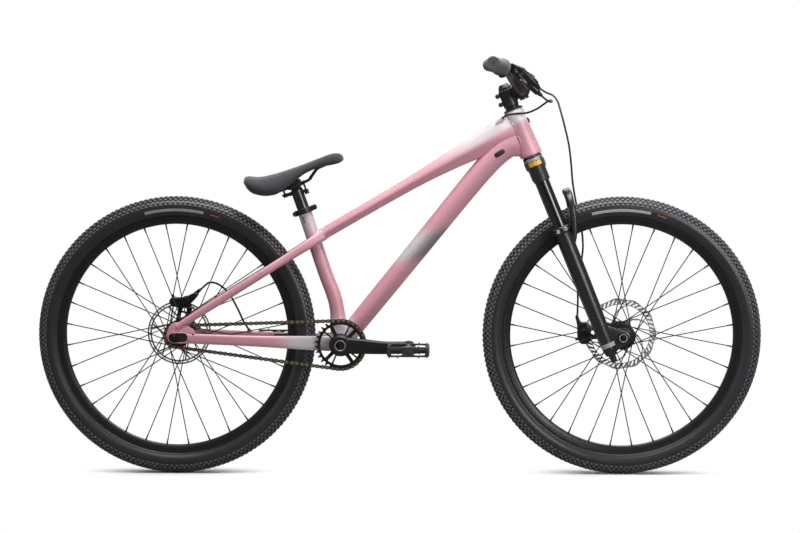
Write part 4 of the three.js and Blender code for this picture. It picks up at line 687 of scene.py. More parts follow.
def plate(outlines, low, high, edge=0.0):
    """A plate in X and Z between two places along Y: first its edge, then the outlines of its holes."""
    curve = bpy.data.curves.new("plate", "CURVE")
    curve.dimensions = "2D"
    curve.fill_mode = "BOTH"
    curve.extrude = (high - low) / 2 - edge
    curve.bevel_depth = edge
    curve.bevel_resolution = 1
    curve.offset = -edge
    for outline in outlines:
        spline = curve.splines.new("POLY")
        spline.points.add(len(outline) - 1)
        for point, (x, z) in zip(spline.points, outline):
            point.co = (x, z, 0.0, 1.0)
        spline.use_cyclic_u = True
    holder = bpy.data.objects.new("plate", curve)
    scene.collection.objects.link(holder)
    mesh = bpy.data.meshes.new_from_object(holder.evaluated_get(bpy.context.evaluated_depsgraph_get()))
    part = [vertex.co.copy() for vertex in mesh.vertices], [tuple(face.vertices) for face in mesh.polygons]
    bpy.data.objects.remove(holder)
    bpy.data.curves.remove(curve)
    bpy.data.meshes.remove(mesh)
    lie = Matrix.Rotation(math.pi / 2, 4, "X")
    return placed(part, Matrix.Translation((0, (low + high) / 2, 0)) @ lie)


def polar(radius, turn):
    return radius * math.cos(turn), radius * math.sin(turn)


def arc(radius, start, end, steps):
    return [polar(radius, start + (end - start) * k / steps) for k in range(steps + 1)]


def arm_gaps(count, inner, outer, half_width, swing):
    """The openings between slim arms that swing round on their way out."""
    openings = []
    for k in range(count):
        start = math.tau * k / count
        end = start + math.tau / count
        low, high = half_width / inner, half_width / outer
        edge = arc(inner, end - low, start + low, 8)
        for share in (0.3, 0.6, 0.85):
            radius = inner + (outer - inner) * share
            edge.append(polar(radius, start + half_width / radius + swing * share**1.4))
        edge += arc(outer, start + high + swing, end - high + swing, 14)
        for share in (0.85, 0.6, 0.3):
            radius = inner + (outer - inner) * share
            edge.append(polar(radius, end - half_width / radius + swing * share**1.4))
        openings.append(edge)
    return openings


def disc_edge(radius, wave, waves, steps=240):
    turns = [2 * math.pi * k / steps for k in range(steps)]
    return [polar(radius - wave * (0.5 - 0.5 * math.cos(waves * turn)), turn) for turn in turns]


def slots(count, inner, outer, width, slant):
    """Round-ended slots across the track, each slanted forward."""
    made = []
    for k in range(count):
        turn = 2 * math.pi * k / count
        low, high = Vector(polar(inner, turn)), Vector(polar(outer, turn + slant))
        run = (high - low).normalized()
        start = math.atan2(run.y, run.x)
        ends = [(high, start - math.pi / 2), (low, start + math.pi / 2)]
        made.append([
            (end.x + width / 2 * math.cos(first + math.pi * j / 4),
             end.y + width / 2 * math.sin(first + math.pi * j / 4))
            for end, first in ends for j in range(5)
        ])
    return made


def front_rotor():
    windows = arm_gaps(6, 33.0, 73.5, 3.0, -0.75)
    holes = slots(44, 76.4, 84.2, 3.4, -0.085)
    return plate([disc_edge(90.0, 3.0, 11), circle(22.2, 48), *windows, *holes],
                 front_rotor_side, front_rotor_side + rotor_thickness)


def bar(start, end, half_width):
    """A straight strip's outline."""
    start, end = Vector(start), Vector(end)
    aside = Vector((start.y - end.y, end.x - start.x)).normalized() * half_width
    return [tuple(spot) for spot in (start - aside, end - aside, end + aside, start + aside)]


def rear_rotor():
    low, high = rear_rotor_side, rear_rotor_side + rotor_thickness
    made = [plate([circle(80.0, 144), circle(76.0, 144)], low, high)]
    made.append(plate([circle(73.4, 144), circle(69.2, 144)], low, high))
    made.append(plate([circle(33.0, 72), circle(22.2, 48)], low, high))
    for k in range(24):
        turn = math.tau * k / 24
        made.append(plate([bar(polar(72.6, turn), polar(77.8, turn + 0.04), 1.3)], low + 0.1, high - 0.1))
    for k in range(12):
        turn = math.tau * (k // 2) / 6 + 0.3
        lean = 0.62 if k % 2 else -0.62
        made.append(plate([bar(polar(31.6, turn), polar(71.4, turn + lean), 2.0)], low + 0.1, high - 0.1))
    return joined(*made)


def rotor_carrier(offset, outer):
    """A black six-armed carrier with its bolts."""
    waist = disc_edge(outer, 9, 6, 96)
    face = offset + rotor_thickness
    carrier = plate([waist, circle(21.6, 40)], face, face + 1.6, 0.3)
    head = [(0, 0), (3.6, 0), (3.6, 1.6), (3.0, 2.3), (1.8, 2.3), (1.5, 1.2), (0, 1.2)]
    heads = []
    for k in range(6):
        x, z = polar(25.6, math.tau * (k + 0.5) / 6)
        heads.append(turned(head, (x, face + 1.5, z), (0, 1, 0), 18))
    return joined(carrier, *heads)


rotor_look = plain_steel("rotor_steel", (134, 130, 126), (184, 180, 175), 0.42, 0.5, 300.0)
carrier_look = black_alloy("rotor_carrier_black", (18, 18, 19), (32, 32, 34))
piece("front_rotor_disc", placed(front_rotor(), Matrix.Translation(front_axle)), rotor_look, "front_wheel",
      "rotor_steel", "front_brake_rotor")
piece("rear_rotor_disc", placed(rear_rotor(), Matrix.Translation(rear_axle)), rotor_look, "rear_wheel",
      "rotor_steel", "rear_brake_rotor")
for label, body, axle in wheels:
    piece(f"{label}_rotor_carrier", placed(rotor_carrier(*carrier_sizes[label]), Matrix.Translation(axle)),
          carrier_look, body, "black_alloy")


# Brake calipers
# Two forged half bodies bolted round the pads, with a hose port, a bleed screw and two
# mounting bolts through its ears. All are black anodised, the bolts as well.
head_foot = Vector((329.344, 0.0, 795.973))
head_tilt = math.radians(22)
steering_place = Matrix.Translation(head_foot) @ Matrix.Rotation(-head_tilt, 4, "Y")
fork_axle = Vector((41.5, 0.0, -501.0))
ear_places = (-11.3, 11.3)


def caliper_place(axle, offset, radius, angle):
    """A caliper's own place: X runs along the rotor, Y across it and Z away from the axle."""
    turn = math.radians(angle)
    spot = Vector(axle) + Vector((radius * math.cos(turn), offset, radius * math.sin(turn)))
    return Matrix.Translation(spot) @ Matrix.Rotation(math.pi / 2 - turn, 4, "Y")


def bolt(foot, axis, head_radius, head_height, sides=20):
    """A socket-head bolt with its hexagon recess as a stepped bore."""
    profile = [
        (0, 0), (head_radius, 0), (head_radius, head_height * 0.8), (head_radius * 0.88, head_height),
        (head_radius * 0.52, head_height), (head_radius * 0.5, head_height * 0.45), (0, head_height * 0.45),
    ]
    return turned(profile, foot, axis, sides)


def looped(points, steps=6):
    """A smooth closed outline through the given points."""
    count = len(points)
    line = []
    for k in range(count):
        four = [Vector((*points[(k + j) % count], 0)) for j in (-1, 0, 1, 2)]
        spots = [curve_point(*four, step / steps) for step in range(steps)]
        line += [(spot.x, spot.y) for spot in spots]
    return line


def caliper_half(side, edge):
    """One half of the body, on its own side of the rotor."""
    low, high = (1.7, 17.5) if side > 0 else (-17.5, -1.7)
    half = plate([edge], low, high, 2.2)
    dome_low = (0, 17, 1) if side > 0 else (0, -17, 1)
    dome = turned(rounded([(0, 0), (12.5, 0), (11.8, 2.6), (6.0, 3.6), (0, 3.6)], 1.0), dome_low,
                  (0, side, 0), 40)
    return joined(half, dome)


def caliper(port_tilt, edge, bleed_place, bolt_places):
    tilt = math.radians(port_tilt)
    port_foot = Vector((8.1, 9.25, 7.5))
    port_run = Vector((math.cos(tilt), 0, math.sin(tilt)))
    port = turned(
        rounded([(0, -6), (8.5, -6), (8.2, 8), (6.2, 14), (5.4, 16), (5.4, 22), (4.6, 24), (4.4, 33.8),
                 (0, 33.8)], 1.0),
        port_foot, port_run, 32,
    )
    bleed = turned([(0, 0), (4.4, 0), (4.4, 3), (3.4, 4), (3.4, 7.5), (2.4, 9), (0, 9)],
                   (bleed_place[0], 9, bleed_place[1]), (-0.35, 0, 1), 24)
    bridge_bolts = [bolt((x, 17, z), (0, 1, 0), 3.4, 2.2) for x, z in bolt_places]
    ear = plate([circle(7.2, 28), circle(2.9, 16)], -3.5, 3.5, 0.6)
    lie = Matrix.Rotation(math.pi / 2, 4, "X")
    ears = [placed(ear, Matrix.Translation((x, 14.8, -15)) @ lie) for x in ear_places]
    screw = [(0, 0), (4.8, 0), (4.8, 4.2), (4.0, 5), (2.4, 5), (2.2, 3), (0, 3)]
    mounts = [turned(screw, (x, 14.8, -11.6), (0, 0, 1), 20) for x in ear_places]
    return joined(caliper_half(1, edge), caliper_half(-1, edge), port, bleed, *bridge_bolts, *ears, *mounts)


caliper_look = black_alloy("caliper_black", (14, 14, 15), (32, 32, 34), 0.34, 0.35)
short_edge = [
    (-27, -5), (-17, -16.5), (17, -16.5), (27, -5), (27, 7), (22, 14), (13, 17), (-6, 17), (-16, 15),
    (-24, 11), (-27, 6),
]
long_edge = looped([(-40, -3), (-38, -13), (-26, -18), (-4, -16), (11, -5), (22, 12), (27, 24), (19, 27),
                    (6, 18), (-8, 9), (-22, 5), (-34, 4)], 3)
rear_caliper_place = caliper_place(rear_axle, 47.9, 81.0, 77.7)
front_caliper_seat = caliper_place(fork_axle, 42.9, 91.0, 156.9)
front_caliper_place = steering_place @ front_caliper_seat
piece("rear_caliper_body",
      placed(caliper(55, long_edge, (-34, 1), ((-30, -7), (14, 14))), rear_caliper_place), caliper_look,
      "frame", "black_alloy", "rear_brake_caliper", sharp=32)
piece("front_caliper_body",
      placed(caliper(20, short_edge, (-15, 13), ((-20, 2), (20, 2))), front_caliper_place), caliper_look,
      "fork", "black_alloy", "front_brake_caliper", sharp=32)
pad_look = plain_steel("pad_steel", (60, 56, 52), (96, 90, 84), 0.6, 0.5)
for node in ("front_brake_pad_outer", "front_brake_pad_inner", "rear_brake_pad_outer",
             "rear_brake_pad_inner"):
    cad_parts[node].data.materials[0] = pad_look
tube_look = tyre_rubber("inner_tube_rubber", front_axle)
for node in ("front_inner_tube", "rear_inner_tube"):
    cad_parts[node].data.materials[0] = tube_look


# Frame
# One welded aluminium frame: facetted top tube, round down tube that flares at its front, bent
# seat tube, tall chainstays, seatstays and slotted dropouts, in pink paint that fades to grey.
bracket = Vector((-144.0, 0.0, 326.5))
top_tube_ends = (Vector((-194.0, 0, 597.0)), Vector((300.0, 0, 866.0)))
down_tube_ends = (bracket, Vector((297.0, 0, 829.0)))
seat_knee = Vector((-186.6, 0.0, 508.5))
collar_centre = Vector((-236.6, 0.0, 657.0))
seat_tilt = math.radians(19.5)
seat_place = Matrix.Translation(collar_centre) @ Matrix.Rotation(-seat_tilt, 4, "Y")
top_tube_stations = [
    (-0.04, -0.9, 15.0, 15.0), (0, 0, 15.0, 14.6), (0.41, 6.0, 17.0, 15.8), (0.62, 8.4, 20.0, 21.0),
    (0.79, 7.2, 23.0, 28.5), (0.92, 3.0, 24.0, 38.3), (1, 0, 20.0, 32.0),
]
down_tube_stations = [
    (0, 0, 20.9, 21.2), (0.08, 2.4, 22.0, 23.5), (0.42, 10.8, 24.0, 24.9), (0.8, 20.6, 25.1, 26.6),
    (0.945, 17.2, 25.1, 30.1), (1, 0, 22.5, 35.2),
]
seat_tube_stations = [(0, 0, 22.5), (0.23, 0.018, 21.8), (0.43, 0.043, 18.1), (0.65, 0.046, 17.9),
                      (1, 0, 17.4)]
chainstay_stations = [
    (0, 70.0, 7.0, 12.5), (0.127, 66.0, 7.5, 12.5), (0.471, 54.0, 8.0, 13.5), (0.749, 39.5, 6.5, 17.0),
    (0.854, 34.0, 6.0, 18.0), (1, 22.0, 7.7, 19.0),
]
seatstay_stations = [
    (0, 70.0, 7.0, 8.0), (0.2, 66.5, 7.0, 10.0), (0.56, 52.0, 8.0, 10.0), (0.75, 36.4, 8.0, 10.5),
    (0.888, 26.0, 8.0, 12.0), (1, 12.0, 8.0, 14.0),
]


def section(width, depth, sides=40, facet=0.0, power=2.0):
    """A ring between an oval and a rounded box, pulled towards a hexagon by its facet share."""
    ring = []
    for j in range(sides):
        turn = 2 * math.pi * (j + 0.5) / sides
        c, s = math.cos(turn), math.sin(turn)
        hexagon = 0.866 / math.cos(turn % (math.pi / 3) - math.pi / 6)
        x = width * math.copysign(abs(c) ** (2 / power), c) * (1 + facet * (hexagon - 1))
        y = depth * math.copysign(abs(s) ** (2 / power), s) * (1 + facet * (hexagon / 0.866 - 1))
        ring.append((x, y))
    return ring


def tube(stations, steps=10, facet=0.0, power=2.0, across=(0, 1, 0), sides=40):
    """A tube through stations of place, half width and half depth."""
    line = line_through([place for place, width, depth in stations], steps)
    sizes = line_through([(width, depth, 0) for place, width, depth in stations], steps)
    rings = [section(size.x, size.y, sides, facet, power) for size in sizes]
    return swept(line, rings, across)


def main_tube(ends, stations, facet):
    start, end = ends
    run = end - start
    rise = Vector((-run.z, 0, run.x)).normalized()
    return tube([
        (start + run * along + rise * off, width, depth) for along, off, width, depth in stations
    ], facet=facet)


def stay(rear, front, stations, power):
    rear, front = Vector(rear), Vector(front)
    line = [
        (rear.lerp(front, along) - Vector((0, out, 0)), width, height)
        for along, out, width, height in stations
    ]
    return tube(line, power=power)


def seat_tube():
    run = seat_knee - bracket
    aside = Vector((run.z, 0, -run.x))
    stations = [
        (bracket + run * along + aside * off, size, size) for along, off, size in seat_tube_stations
    ]
    stations += [(seat_place @ Vector((0, 0, height)), 17.3, 17.3) for height in (-26, 6.5)]
    return tube(stations)


def head_tube():
    profile = rounded([
        (18.5, 0), (27.8, 0), (28.2, 3), (28.0, 10), (26.9, 17), (25.2, 60), (24.0, 98), (24.6, 106),
        (25.0, 112), (24.6, 121), (18.5, 121),
    ], 2.5, 3)
    return placed(turned([*profile, profile[0]], axis=(0, 0, 1), sides=64, closed=True), steering_place)


def stadium(x, z, half, radius, turn=0.0, steps=10):
    """A round-ended slot whose middle line is turned by an angle."""
    shape = []
    for end in (1, -1):
        for k in range(steps + 1):
            spin = turn + math.pi * (k / steps - 0.5) + (0 if end > 0 else math.pi)
            shape.append((
                x + end * half * math.cos(turn) + radius * math.cos(spin),
                z + end * half * math.sin(turn) + radius * math.sin(spin),
            ))
    return shape


dropout_outline = [
    (-574.5, 355.7), (-573.5, 344.5), (-564.7, 336.9), (-541.6, 331.2), (-520, 333.0), (-506.5, 339.5),
    (-501.5, 350.0), (-505.5, 362.0), (-516, 371.0), (-529.5, 379.0), (-548, 384.0), (-563.7, 378.5),
]
recess_x = -545.5
slot_height = axle_height - 0.8


def dropout():
    """The dropout's plate and the raised rim round its axle slot."""
    slot = stadium(recess_x, slot_height, 12.4, 10.6)
    body = plate([looped(dropout_outline), slot], -74.2, -66.8, 1.4)
    rim = plate([stadium(recess_x, slot_height, 12.6, 13.4), stadium(recess_x, slot_height, 12.4, 11.2)],
                -79.0, -73.6, 0.7)
    return joined(body, rim)


def flipped(part):
    """The same part on the other side of the bike."""
    return [Vector((x, -y, z)) for x, y, z in part[0]], part[1]


def frame_paint():
    """Satin pink that fades to grey at the head, the down tube's middle and the bracket."""
    look, wire = start_look("frame_pink_fade")
    x, _, z = axes_of(wire, place_of(wire))
    mist = grain(wire, 9.0, 2.0)
    shell_end = smooth(wire, x + mist * 0.03, -0.31, -0.235) * (1 - smooth(wire, z, 0.372, 0.404))
    shell_end = shell_end * (1 - smooth(wire, x, -0.118, -0.100))
    up_head = (z - 0.796) * math.cos(head_tilt) - (x - 0.3293) * math.sin(head_tilt)
    head_end = smooth(wire, up_head, 0.070, 0.112) * 0.85
    top_rise = (z - 0.597) - (x + 0.194) * 0.5445
    top_front = smooth(wire, top_rise, 0.004, 0.022) * smooth(wire, x, 0.02, 0.215) * 0.9
    top_front = top_front * smooth(wire, x + z, 0.80, 1.0)
    along = (x - 0.057) * 0.66 + (z - 0.572) * 0.7513
    out = (x - 0.057) * 0.7513 - (z - 0.572) * 0.66
    slant = along - out * 1.15
    streak = 1 - smooth(wire, wire.maths("ABSOLUTE", slant, 0.0), 0.022, 0.078)
    past_bracket = smooth(wire, x + z, 0.46, 0.5)
    off_tube = smooth(wire, wire.maths("ABSOLUTE", out, 0.0), 0.04, 0.045)
    streak = streak * (past_bracket * (1 - off_tube))
    seat_blob = vector_maths(wire, "DISTANCE", place_of(wire), (-0.234, -0.01, 0.650), out=1)
    seat_end = (1 - smooth(wire, seat_blob, 0.03, 0.078)) * 0.85
    shell_or_head = wire.maths("MAXIMUM", shell_end, head_end)
    top_or_seat = wire.maths("MAXIMUM", top_front, seat_end)
    grey = wire.maths("MINIMUM", wire.maths("MAXIMUM", shell_or_head, top_or_seat), 1.0)
    pink = between(wire, mist, tone(199, 136, 150), tone(208, 146, 159))
    pale = between(wire, mist, tone(196, 186, 192), tone(204, 195, 200))
    # Towards the top of the head tube the pale grey is lifted to near white: a painted highlight on the
    # pale paint.
    head_painted_highlight = smooth(wire, up_head, 0.06, 0.1) * smooth(wire, x, 0.245, 0.275)
    pale = between(wire, head_painted_highlight, pale, tone(240, 235, 238))
    paint = between(wire, grey, pink, pale)
    # The grey streak is pale on the down tube's upper side and a darker grey on its underside: painted
    # shade under the tube.
    streak_grey_painted_shade = between(wire, smooth(wire, out, -0.022, 0.02), tone(196, 190, 194), tone(112, 106, 108))
    paint = between(wire, streak * 0.95, paint, streak_grey_painted_shade)
    peel = grain(wire, 260.0, 2.0)
    return shaded(look, wire, {
        "Base Color": paint,
        "Roughness": 0.48,
        "Coat Weight": 0.8,
        "Coat Roughness": 0.48,
        "Coat IOR": 1.75,
        "Normal": raised(wire, peel, 0.05, 0.0001),
    })


paint = frame_paint()
top_tube = main_tube(top_tube_ends, top_tube_stations, 0.62)
down_tube = main_tube(down_tube_ends, down_tube_stations, 0.12)
chainstay = stay((-528, 0, 344), (-150, 0, 326.5), chainstay_stations, 3.6)
seatstay = stay((-549, 0, 372), (-188, 0, 598), seatstay_stations, 2.5)
shell_profile = rounded([(17.5, -34), (23.4, -34), (24, -33), (24, 33), (23.4, 34), (17.5, 34)], 1.0)
bracket_shell = turned([*shell_profile, (17.5, -34)], sides=56, closed=True)
bracket_shell = placed(bracket_shell, Matrix.Translation(bracket))
piece("frame_top_tube", top_tube, paint, "frame", "frame_paint", "frame", sharp=50)
piece("frame_down_tube", down_tube, paint, "frame", "frame_paint", sharp=50)
piece("frame_seat_tube", seat_tube(), paint, "frame", "frame_paint", sharp=50)
piece("frame_head_tube", head_tube(), paint, "frame", "frame_paint", sharp=40)
piece("frame_bracket_shell", bracket_shell, paint, "frame", "frame_paint", sharp=40)
for side, turn_over in (("right", lambda part: part), ("left", flipped)):
    piece(f"frame_chainstay_{side}", turn_over(chainstay), paint, "frame", "frame_paint", sharp=50)
    piece(f"frame_seatstay_{side}", turn_over(seatstay), paint, "frame", "frame_paint", sharp=50)
    piece(f"frame_dropout_{side}", turn_over(dropout()), paint, "frame", "frame_paint")


def seam(skin_part, start, ahead, half_width, half_depth, count=48, radius=2.4):
    """A weld bead where rays from a tube's skin, cast along the tube, first meet another skin."""
    tree = BVHTree.FromPolygons([tuple(point) for point in skin_part[0]], skin_part[1])
    ahead = Vector(ahead).normalized()
    side = (Vector((0, 1, 0)) - ahead * ahead.y).normalized()
    up = ahead.cross(side)
    hits = []
    for across, rise in circle(1.0, count):
        foot = Vector(start) + side * half_width * across + up * half_depth * rise
        hit = tree.ray_cast(foot, ahead, 120.0)[0]
        if hit:
            hits.append(hit)
    return swept([*hits, *hits[:2]], circle(radius, 10))


def along_tube(ends, share):
    return ends[0].lerp(ends[1], share)


top_run = (top_tube_ends[1] - top_tube_ends[0]).normalized()
down_run = (down_tube_ends[1] - down_tube_ends[0]).normalized()
down_nose = (down_run * 36.7 - Vector((-down_run.z, 0, down_run.x)) * 17.2).normalized()
seams = [
    seam(head_tube(), along_tube(top_tube_ends, 0.94), top_run, 21.5, 34.5, radius=1.7),
    seam(head_tube(), down_tube_ends[1] - down_nose * 12, down_nose, 22.5, 33.5, radius=1.7),
    seam(seat_tube(), along_tube(top_tube_ends, 0.08), -top_run, 14.4, 14.2),
    seam(bracket_shell, along_tube(down_tube_ends, 0.12), -down_run, 20.5, 21.8),
    seam(bracket_shell, bracket + (seat_knee - bracket) * 0.3, bracket - seat_knee, 18.2, 18.2),
]
piece("frame_weld_beads", joined(*seams), paint, "frame", "frame_paint", sharp=60)


def boss(foot, mouth, radius=5.0):
    """A hose's mouth: a short barrel with a rolled rim."""
    foot, mouth = Vector(foot), Vector(mouth)
    length = (mouth - foot).length
    profile = rounded([
        (0, 0), (radius, 0), (radius, length - 3), (radius + 0.9, length - 2.4),
        (radius + 0.9, length - 0.4), (3.2, length - 0.2), (3.0, length - 2.5), (0, length - 2.5),
    ], 0.5, 2)
    return turned(profile, foot, mouth - foot, 28)


def brake_posts(place, length):
    """Two posts from a caliper down to the axle's lug, each with a flange under the caliper."""
    foot = -17.3
    posts = []
    for x in (-11.34, 11.34):
        profile = rounded([(0, 0), (7.2, 0), (7.2, 4), (5.4, 7), (5.4, length), (0, length)], 0.8, 2)
        posts.append(turned(profile, (x, 14.8, foot), (0, 0, -1), 24))
    web = plate([[(-11.3, foot - 9), (11.3, foot - 9), (11.3, foot - 14), (-11.3, foot - 14)]], 10.8, 18.8,
                0.8)
    return placed(joined(*posts, web), place)


mouths = joined(boss((232, -9, 862), (256, -13, 887)), boss((-370, 55, 336), (-380, 52, 354)))
piece("frame_hose_mouths", mouths, paint, "frame", "frame_paint", sharp=35)
post_look = black_alloy("post_black", (20, 20, 21), (36, 36, 38))
piece("frame_brake_posts", brake_posts(rear_caliper_place, 38.0), post_look, "frame", "black_alloy",
      sharp=35)

# Near-black plates set into the dropout slots, the seat tube's keyhole and a bolt hole: painted shadow in
# these openings.
slot_shadow_look = black_alloy("recess_painted_shadow", (10, 10, 10), (20, 20, 20), 0.6, 0.1)
recesses = [plate([stadium(recess_x, slot_height, 12.6, 11.2)], -77.4, -69.2)]
keyhole_turn = math.pi / 2 + seat_tilt
keyhole = plate([stadium(-235.6, 636.0, 6.5, 1.9, keyhole_turn)], -16.2, -12.0)
bolt_hole = plate([circle(2.1, 16)], -75.0, -73.0)
recesses.append(placed(bolt_hole, Matrix.Translation((-509.8, 0, 354.4))))
piece("frame_slot_shadows", joined(*recesses, flipped(recesses[0]), keyhole), slot_shadow_look, "frame",
      "black_alloy", sharp=35)

plastic_look = black_alloy("cover_black_plastic", (22, 20, 20), (38, 35, 35), 0.5, 0.0)
port_centre = (249.8, 801.5)
port_turn = math.radians(32)
cover = joined(
    plate([stadium(*port_centre, 8.5, 6.0, port_turn)], -26.4, -23.4, 0.7),
    plate([stadium(*port_centre, 4.0, 3.4, port_turn)], -27.0, -26.0, 0.4),
    *[
        bolt((port_centre[0] + k * 8.3 * math.cos(port_turn), -26.3,
              port_centre[1] + k * 8.3 * math.sin(port_turn)),
             (0, -1, 0), 2.1, 0.8)
        for k in (-1, 1)
    ],
)
piece("port_cover", cover, plastic_look, "frame", "black_plastic", "cable_port_cover", sharp=35)


def steered(name, part, look, body, slot, *nodes, sharp=30):
    """A piece whose part is drawn in the steering's own frame."""
    return piece(name, placed(part, steering_place), look, body, slot, *nodes, sharp=sharp)


guide = plate([looped([(24.4, 78), (27.8, 79), (28.4, 84), (27.4, 90), (24.2, 91)])], -3.5, 3.5, 0.8)
steered("hose_guide", guide, plastic_look, "frame", "black_plastic", sharp=35)
bearing_look = plain_steel("bearing_steel", (120, 118, 116), (170, 168, 166))
for node in ("head_bearing_lower", "head_bearing_upper"):
    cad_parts[node].data.materials[0] = bearing_look


# Headset, stem and top cap
# Turned and forged aluminium, anodised black: cover ring and spacer on the head tube, a short
# stem clamped to the steerer by two rear bolts, and a four-bolt face plate round the bar.
cockpit_look = black_alloy("cockpit_black", (24, 24, 26), (46, 46, 49), 0.34, 0.35)
ring_look = plain_steel("ring_edge_grey", (96, 96, 98), (150, 150, 152), 0.35, 0.6)
steel_bolt_look = plain_steel("bolt_dark_steel", (52, 51, 52), (92, 90, 90), 0.35, 0.7)
UP = (0, 0, 1)


def stack_ring(foot, height, radius, flare=0.0):
    profile = rounded([
        (14.8, foot), (radius, foot), (radius, foot + height * 0.45), (radius - flare, foot + height),
        (14.8, foot + height),
    ], 0.8, 2)
    return turned([*profile, profile[0]], axis=UP, sides=56, closed=True)


edge_profile = [(24.0, 121.1), (25.25, 121.1), (25.25, 122.0), (24.0, 122.0), (24.0, 121.1)]
steered("headset_cover_ring", stack_ring(121.3, 4.6, 25.0, 4.5), cockpit_look, "steering", "black_alloy",
        "headset_cover")
steered("headset_cover_edge", turned(edge_profile, axis=UP, sides=56), ring_look, "steering", "black_alloy")
steered("headset_spacer_ring", stack_ring(126.2, 5.0, 17.5), cockpit_look, "steering", "black_alloy",
        "headset_spacer")

stem_foot = 131.5
stem_height = 44.0
bar_seat = Vector((36.0, 0.0, 162.5))
pinch_shares = (0.3, 0.8)
face_sides = (-16, 16)
face_spots = [(y, z) for y in face_sides for z in (-21.5, 21.5)]


def stem():
    top = stem_foot + stem_height
    clamp = turned(rounded([
        (14.9, stem_foot), (18.4, stem_foot), (19.0, stem_foot + 2), (19.0, top - 2), (18.4, top),
        (14.9, top), (14.9, stem_foot),
    ], 0.8, 2), axis=UP, sides=56)
    neck = tube([
        (Vector((6, 0, 153.5)), 16.0, 18.5), (Vector((17, 0, 157)), 15.0, 16.5),
        (Vector((28, 0, 160)), 19.5, 18.5),
    ], power=3.2)
    half = []
    for a, b in ((-25, -7.5), (7.5, 25)):
        edge = [(16.4, a), (22.2, a), (23, a * 0.94), (23, b * 0.94), (22.2, b), (16.4, b), (16.4, a)]
        half.append(turned(rounded(edge, 0.7, 2), bar_seat, sides=64))
    saddle = turned([(16.4, -8), (21.2, -8), (21.2, 8), (16.4, 8), (16.4, -8)], bar_seat, sides=64)
    lugs = []
    for share in pinch_shares:
        height = stem_foot + stem_height * share
        barrel = rounded([(0, -12.6), (5.8, -12.6), (5.8, 12.6), (0, 12.6)], 1.0)
        lugs.append(turned(barrel, (-24.0, 0, height), sides=28))
        web = [(-25, height - 4.4), (-10, height - 6.4), (-10, height + 6.4), (-25, height + 4.4)]
        lugs.append(plate([web], -9.5, 9.5, 1.2))
    ears = [
        turned(rounded([(0, 0), (5.0, 0), (5.0, 12), (0, 12)], 0.8), bar_seat + Vector((1.5, y, z)),
               (-1, 0, 0), 24)
        for y, z in face_spots
    ]
    return joined(clamp, neck, *half, saddle, *lugs, *ears)


def face_plate():
    ears = [
        turned(rounded([(0, 0), (5.0, 0), (5.0, 7), (0, 7)], 0.8), bar_seat + Vector((3.2, y, z)),
               (1, 0, 0), 24)
        for y, z in face_spots
    ]
    inner_turns = [math.radians(turn) for turn in range(-75, 76, 15)]
    outer_turns = [math.radians(turn) for turn in range(80, -81, -10)]
    edge = [(3.2, -25), (3.2, -17), *[polar(17, turn) for turn in inner_turns], (3.2, 17), (3.2, 25)]
    edge += [(23 * math.cos(turn), 23.5 * math.sin(turn)) for turn in outer_turns]
    outline = [(x + bar_seat.x, z + bar_seat.z) for x, z in edge]
    spans = [plate([outline], y - 6.5, y + 6.5, 0.8) for y in face_sides]
    bridge_edge = ((17.6, -9), (22.0, -9), (22.6, 0), (22.0, 9), (17.6, 9))
    bridge = plate([[(x + bar_seat.x, z + bar_seat.z) for x, z in bridge_edge]], -16, 16, 0.6)
    return joined(*ears, *spans, bridge)


stem_bolts = [
    bolt((-24.0, -12.4, stem_foot + stem_height * share), (0, -1, 0), 3.8, 1.6) for share in pinch_shares
] + [bolt(bar_seat + Vector((10.0, y, z)), (1, 0, 0), 3.5, 2.2) for y, z in face_spots]
cap_foot = 175.8
top_cap = turned(rounded([
    (0, cap_foot), (16.5, cap_foot), (16.5, cap_foot + 4.9), (11.6, cap_foot + 13.2),
    (10.4, cap_foot + 14.0), (5.2, cap_foot + 14.0), (4.8, cap_foot + 10.5), (0, cap_foot + 10.5),
], 0.9, 3), axis=UP, sides=56)
cap_bolt = bolt((0, 0, cap_foot + 10.4), UP, 4.4, 2.6)
steered("stem_forging", stem(), cockpit_look, "steering", "black_alloy", "stem")
steered("stem_face", face_plate(), cockpit_look, "steering", "black_alloy", "stem_faceplate")
steered("stem_bolts", joined(*stem_bolts), steel_bolt_look, "steering", "dark_steel")
steered("top_cap_turned", top_cap, cockpit_look, "steering", "black_alloy", "stem_top_cap")
steered("top_cap_bolt", cap_bolt, steel_bolt_look, "steering", "dark_steel")


# Fork
# An air-sprung suspension fork: forged black crown with pressed glossy stanchions, and one
# magnesium casting for both lower legs, their arch and the axle lugs, in charcoal paint.
leg_side = 65.0
leg_top = 189.0
leg_foot = 529.0
crown_stations = [
    (-66, 0, 25, 20, 15), (-44, 1, 24, 23, 17), (-22, 1, 23, 25, 18), (0, 0, 22, 26, 19),
    (22, 1, 23, 25, 18), (44, 1, 24, 23, 17), (66, 0, 25, 20, 15),
]


def fork_crown():
    bridge = swept(
        [Vector((x, y, -t)) for y, x, t, w, h in crown_stations],
        [section(w, h, 40, power=3.4) for y, x, t, w, h in crown_stations],
        across=(1, 0, 0),
    )
    race = turned(rounded([(15, 0), (22, 0), (24, -3), (25, -8), (15, -8), (15, 0)], 0.8), (0, 0, -0.3), UP,
                  56)
    sockets = []
    for side in (-1, 1):
        profile = rounded([
            (17.2, 66), (20.2, 66), (20.9, 64.5), (20.9, 14), (21.2, 13), (21.2, 8), (18.5, 4.5),
            (15.5, 4.2), (15.5, 1.0), (14.2, 0.2), (0, 0.2),
        ], 0.9, 2)
        sockets.append(turned(profile, (0, side * leg_side, 0), (0, 0, -1), 56))
    return joined(bridge, race, *sockets)


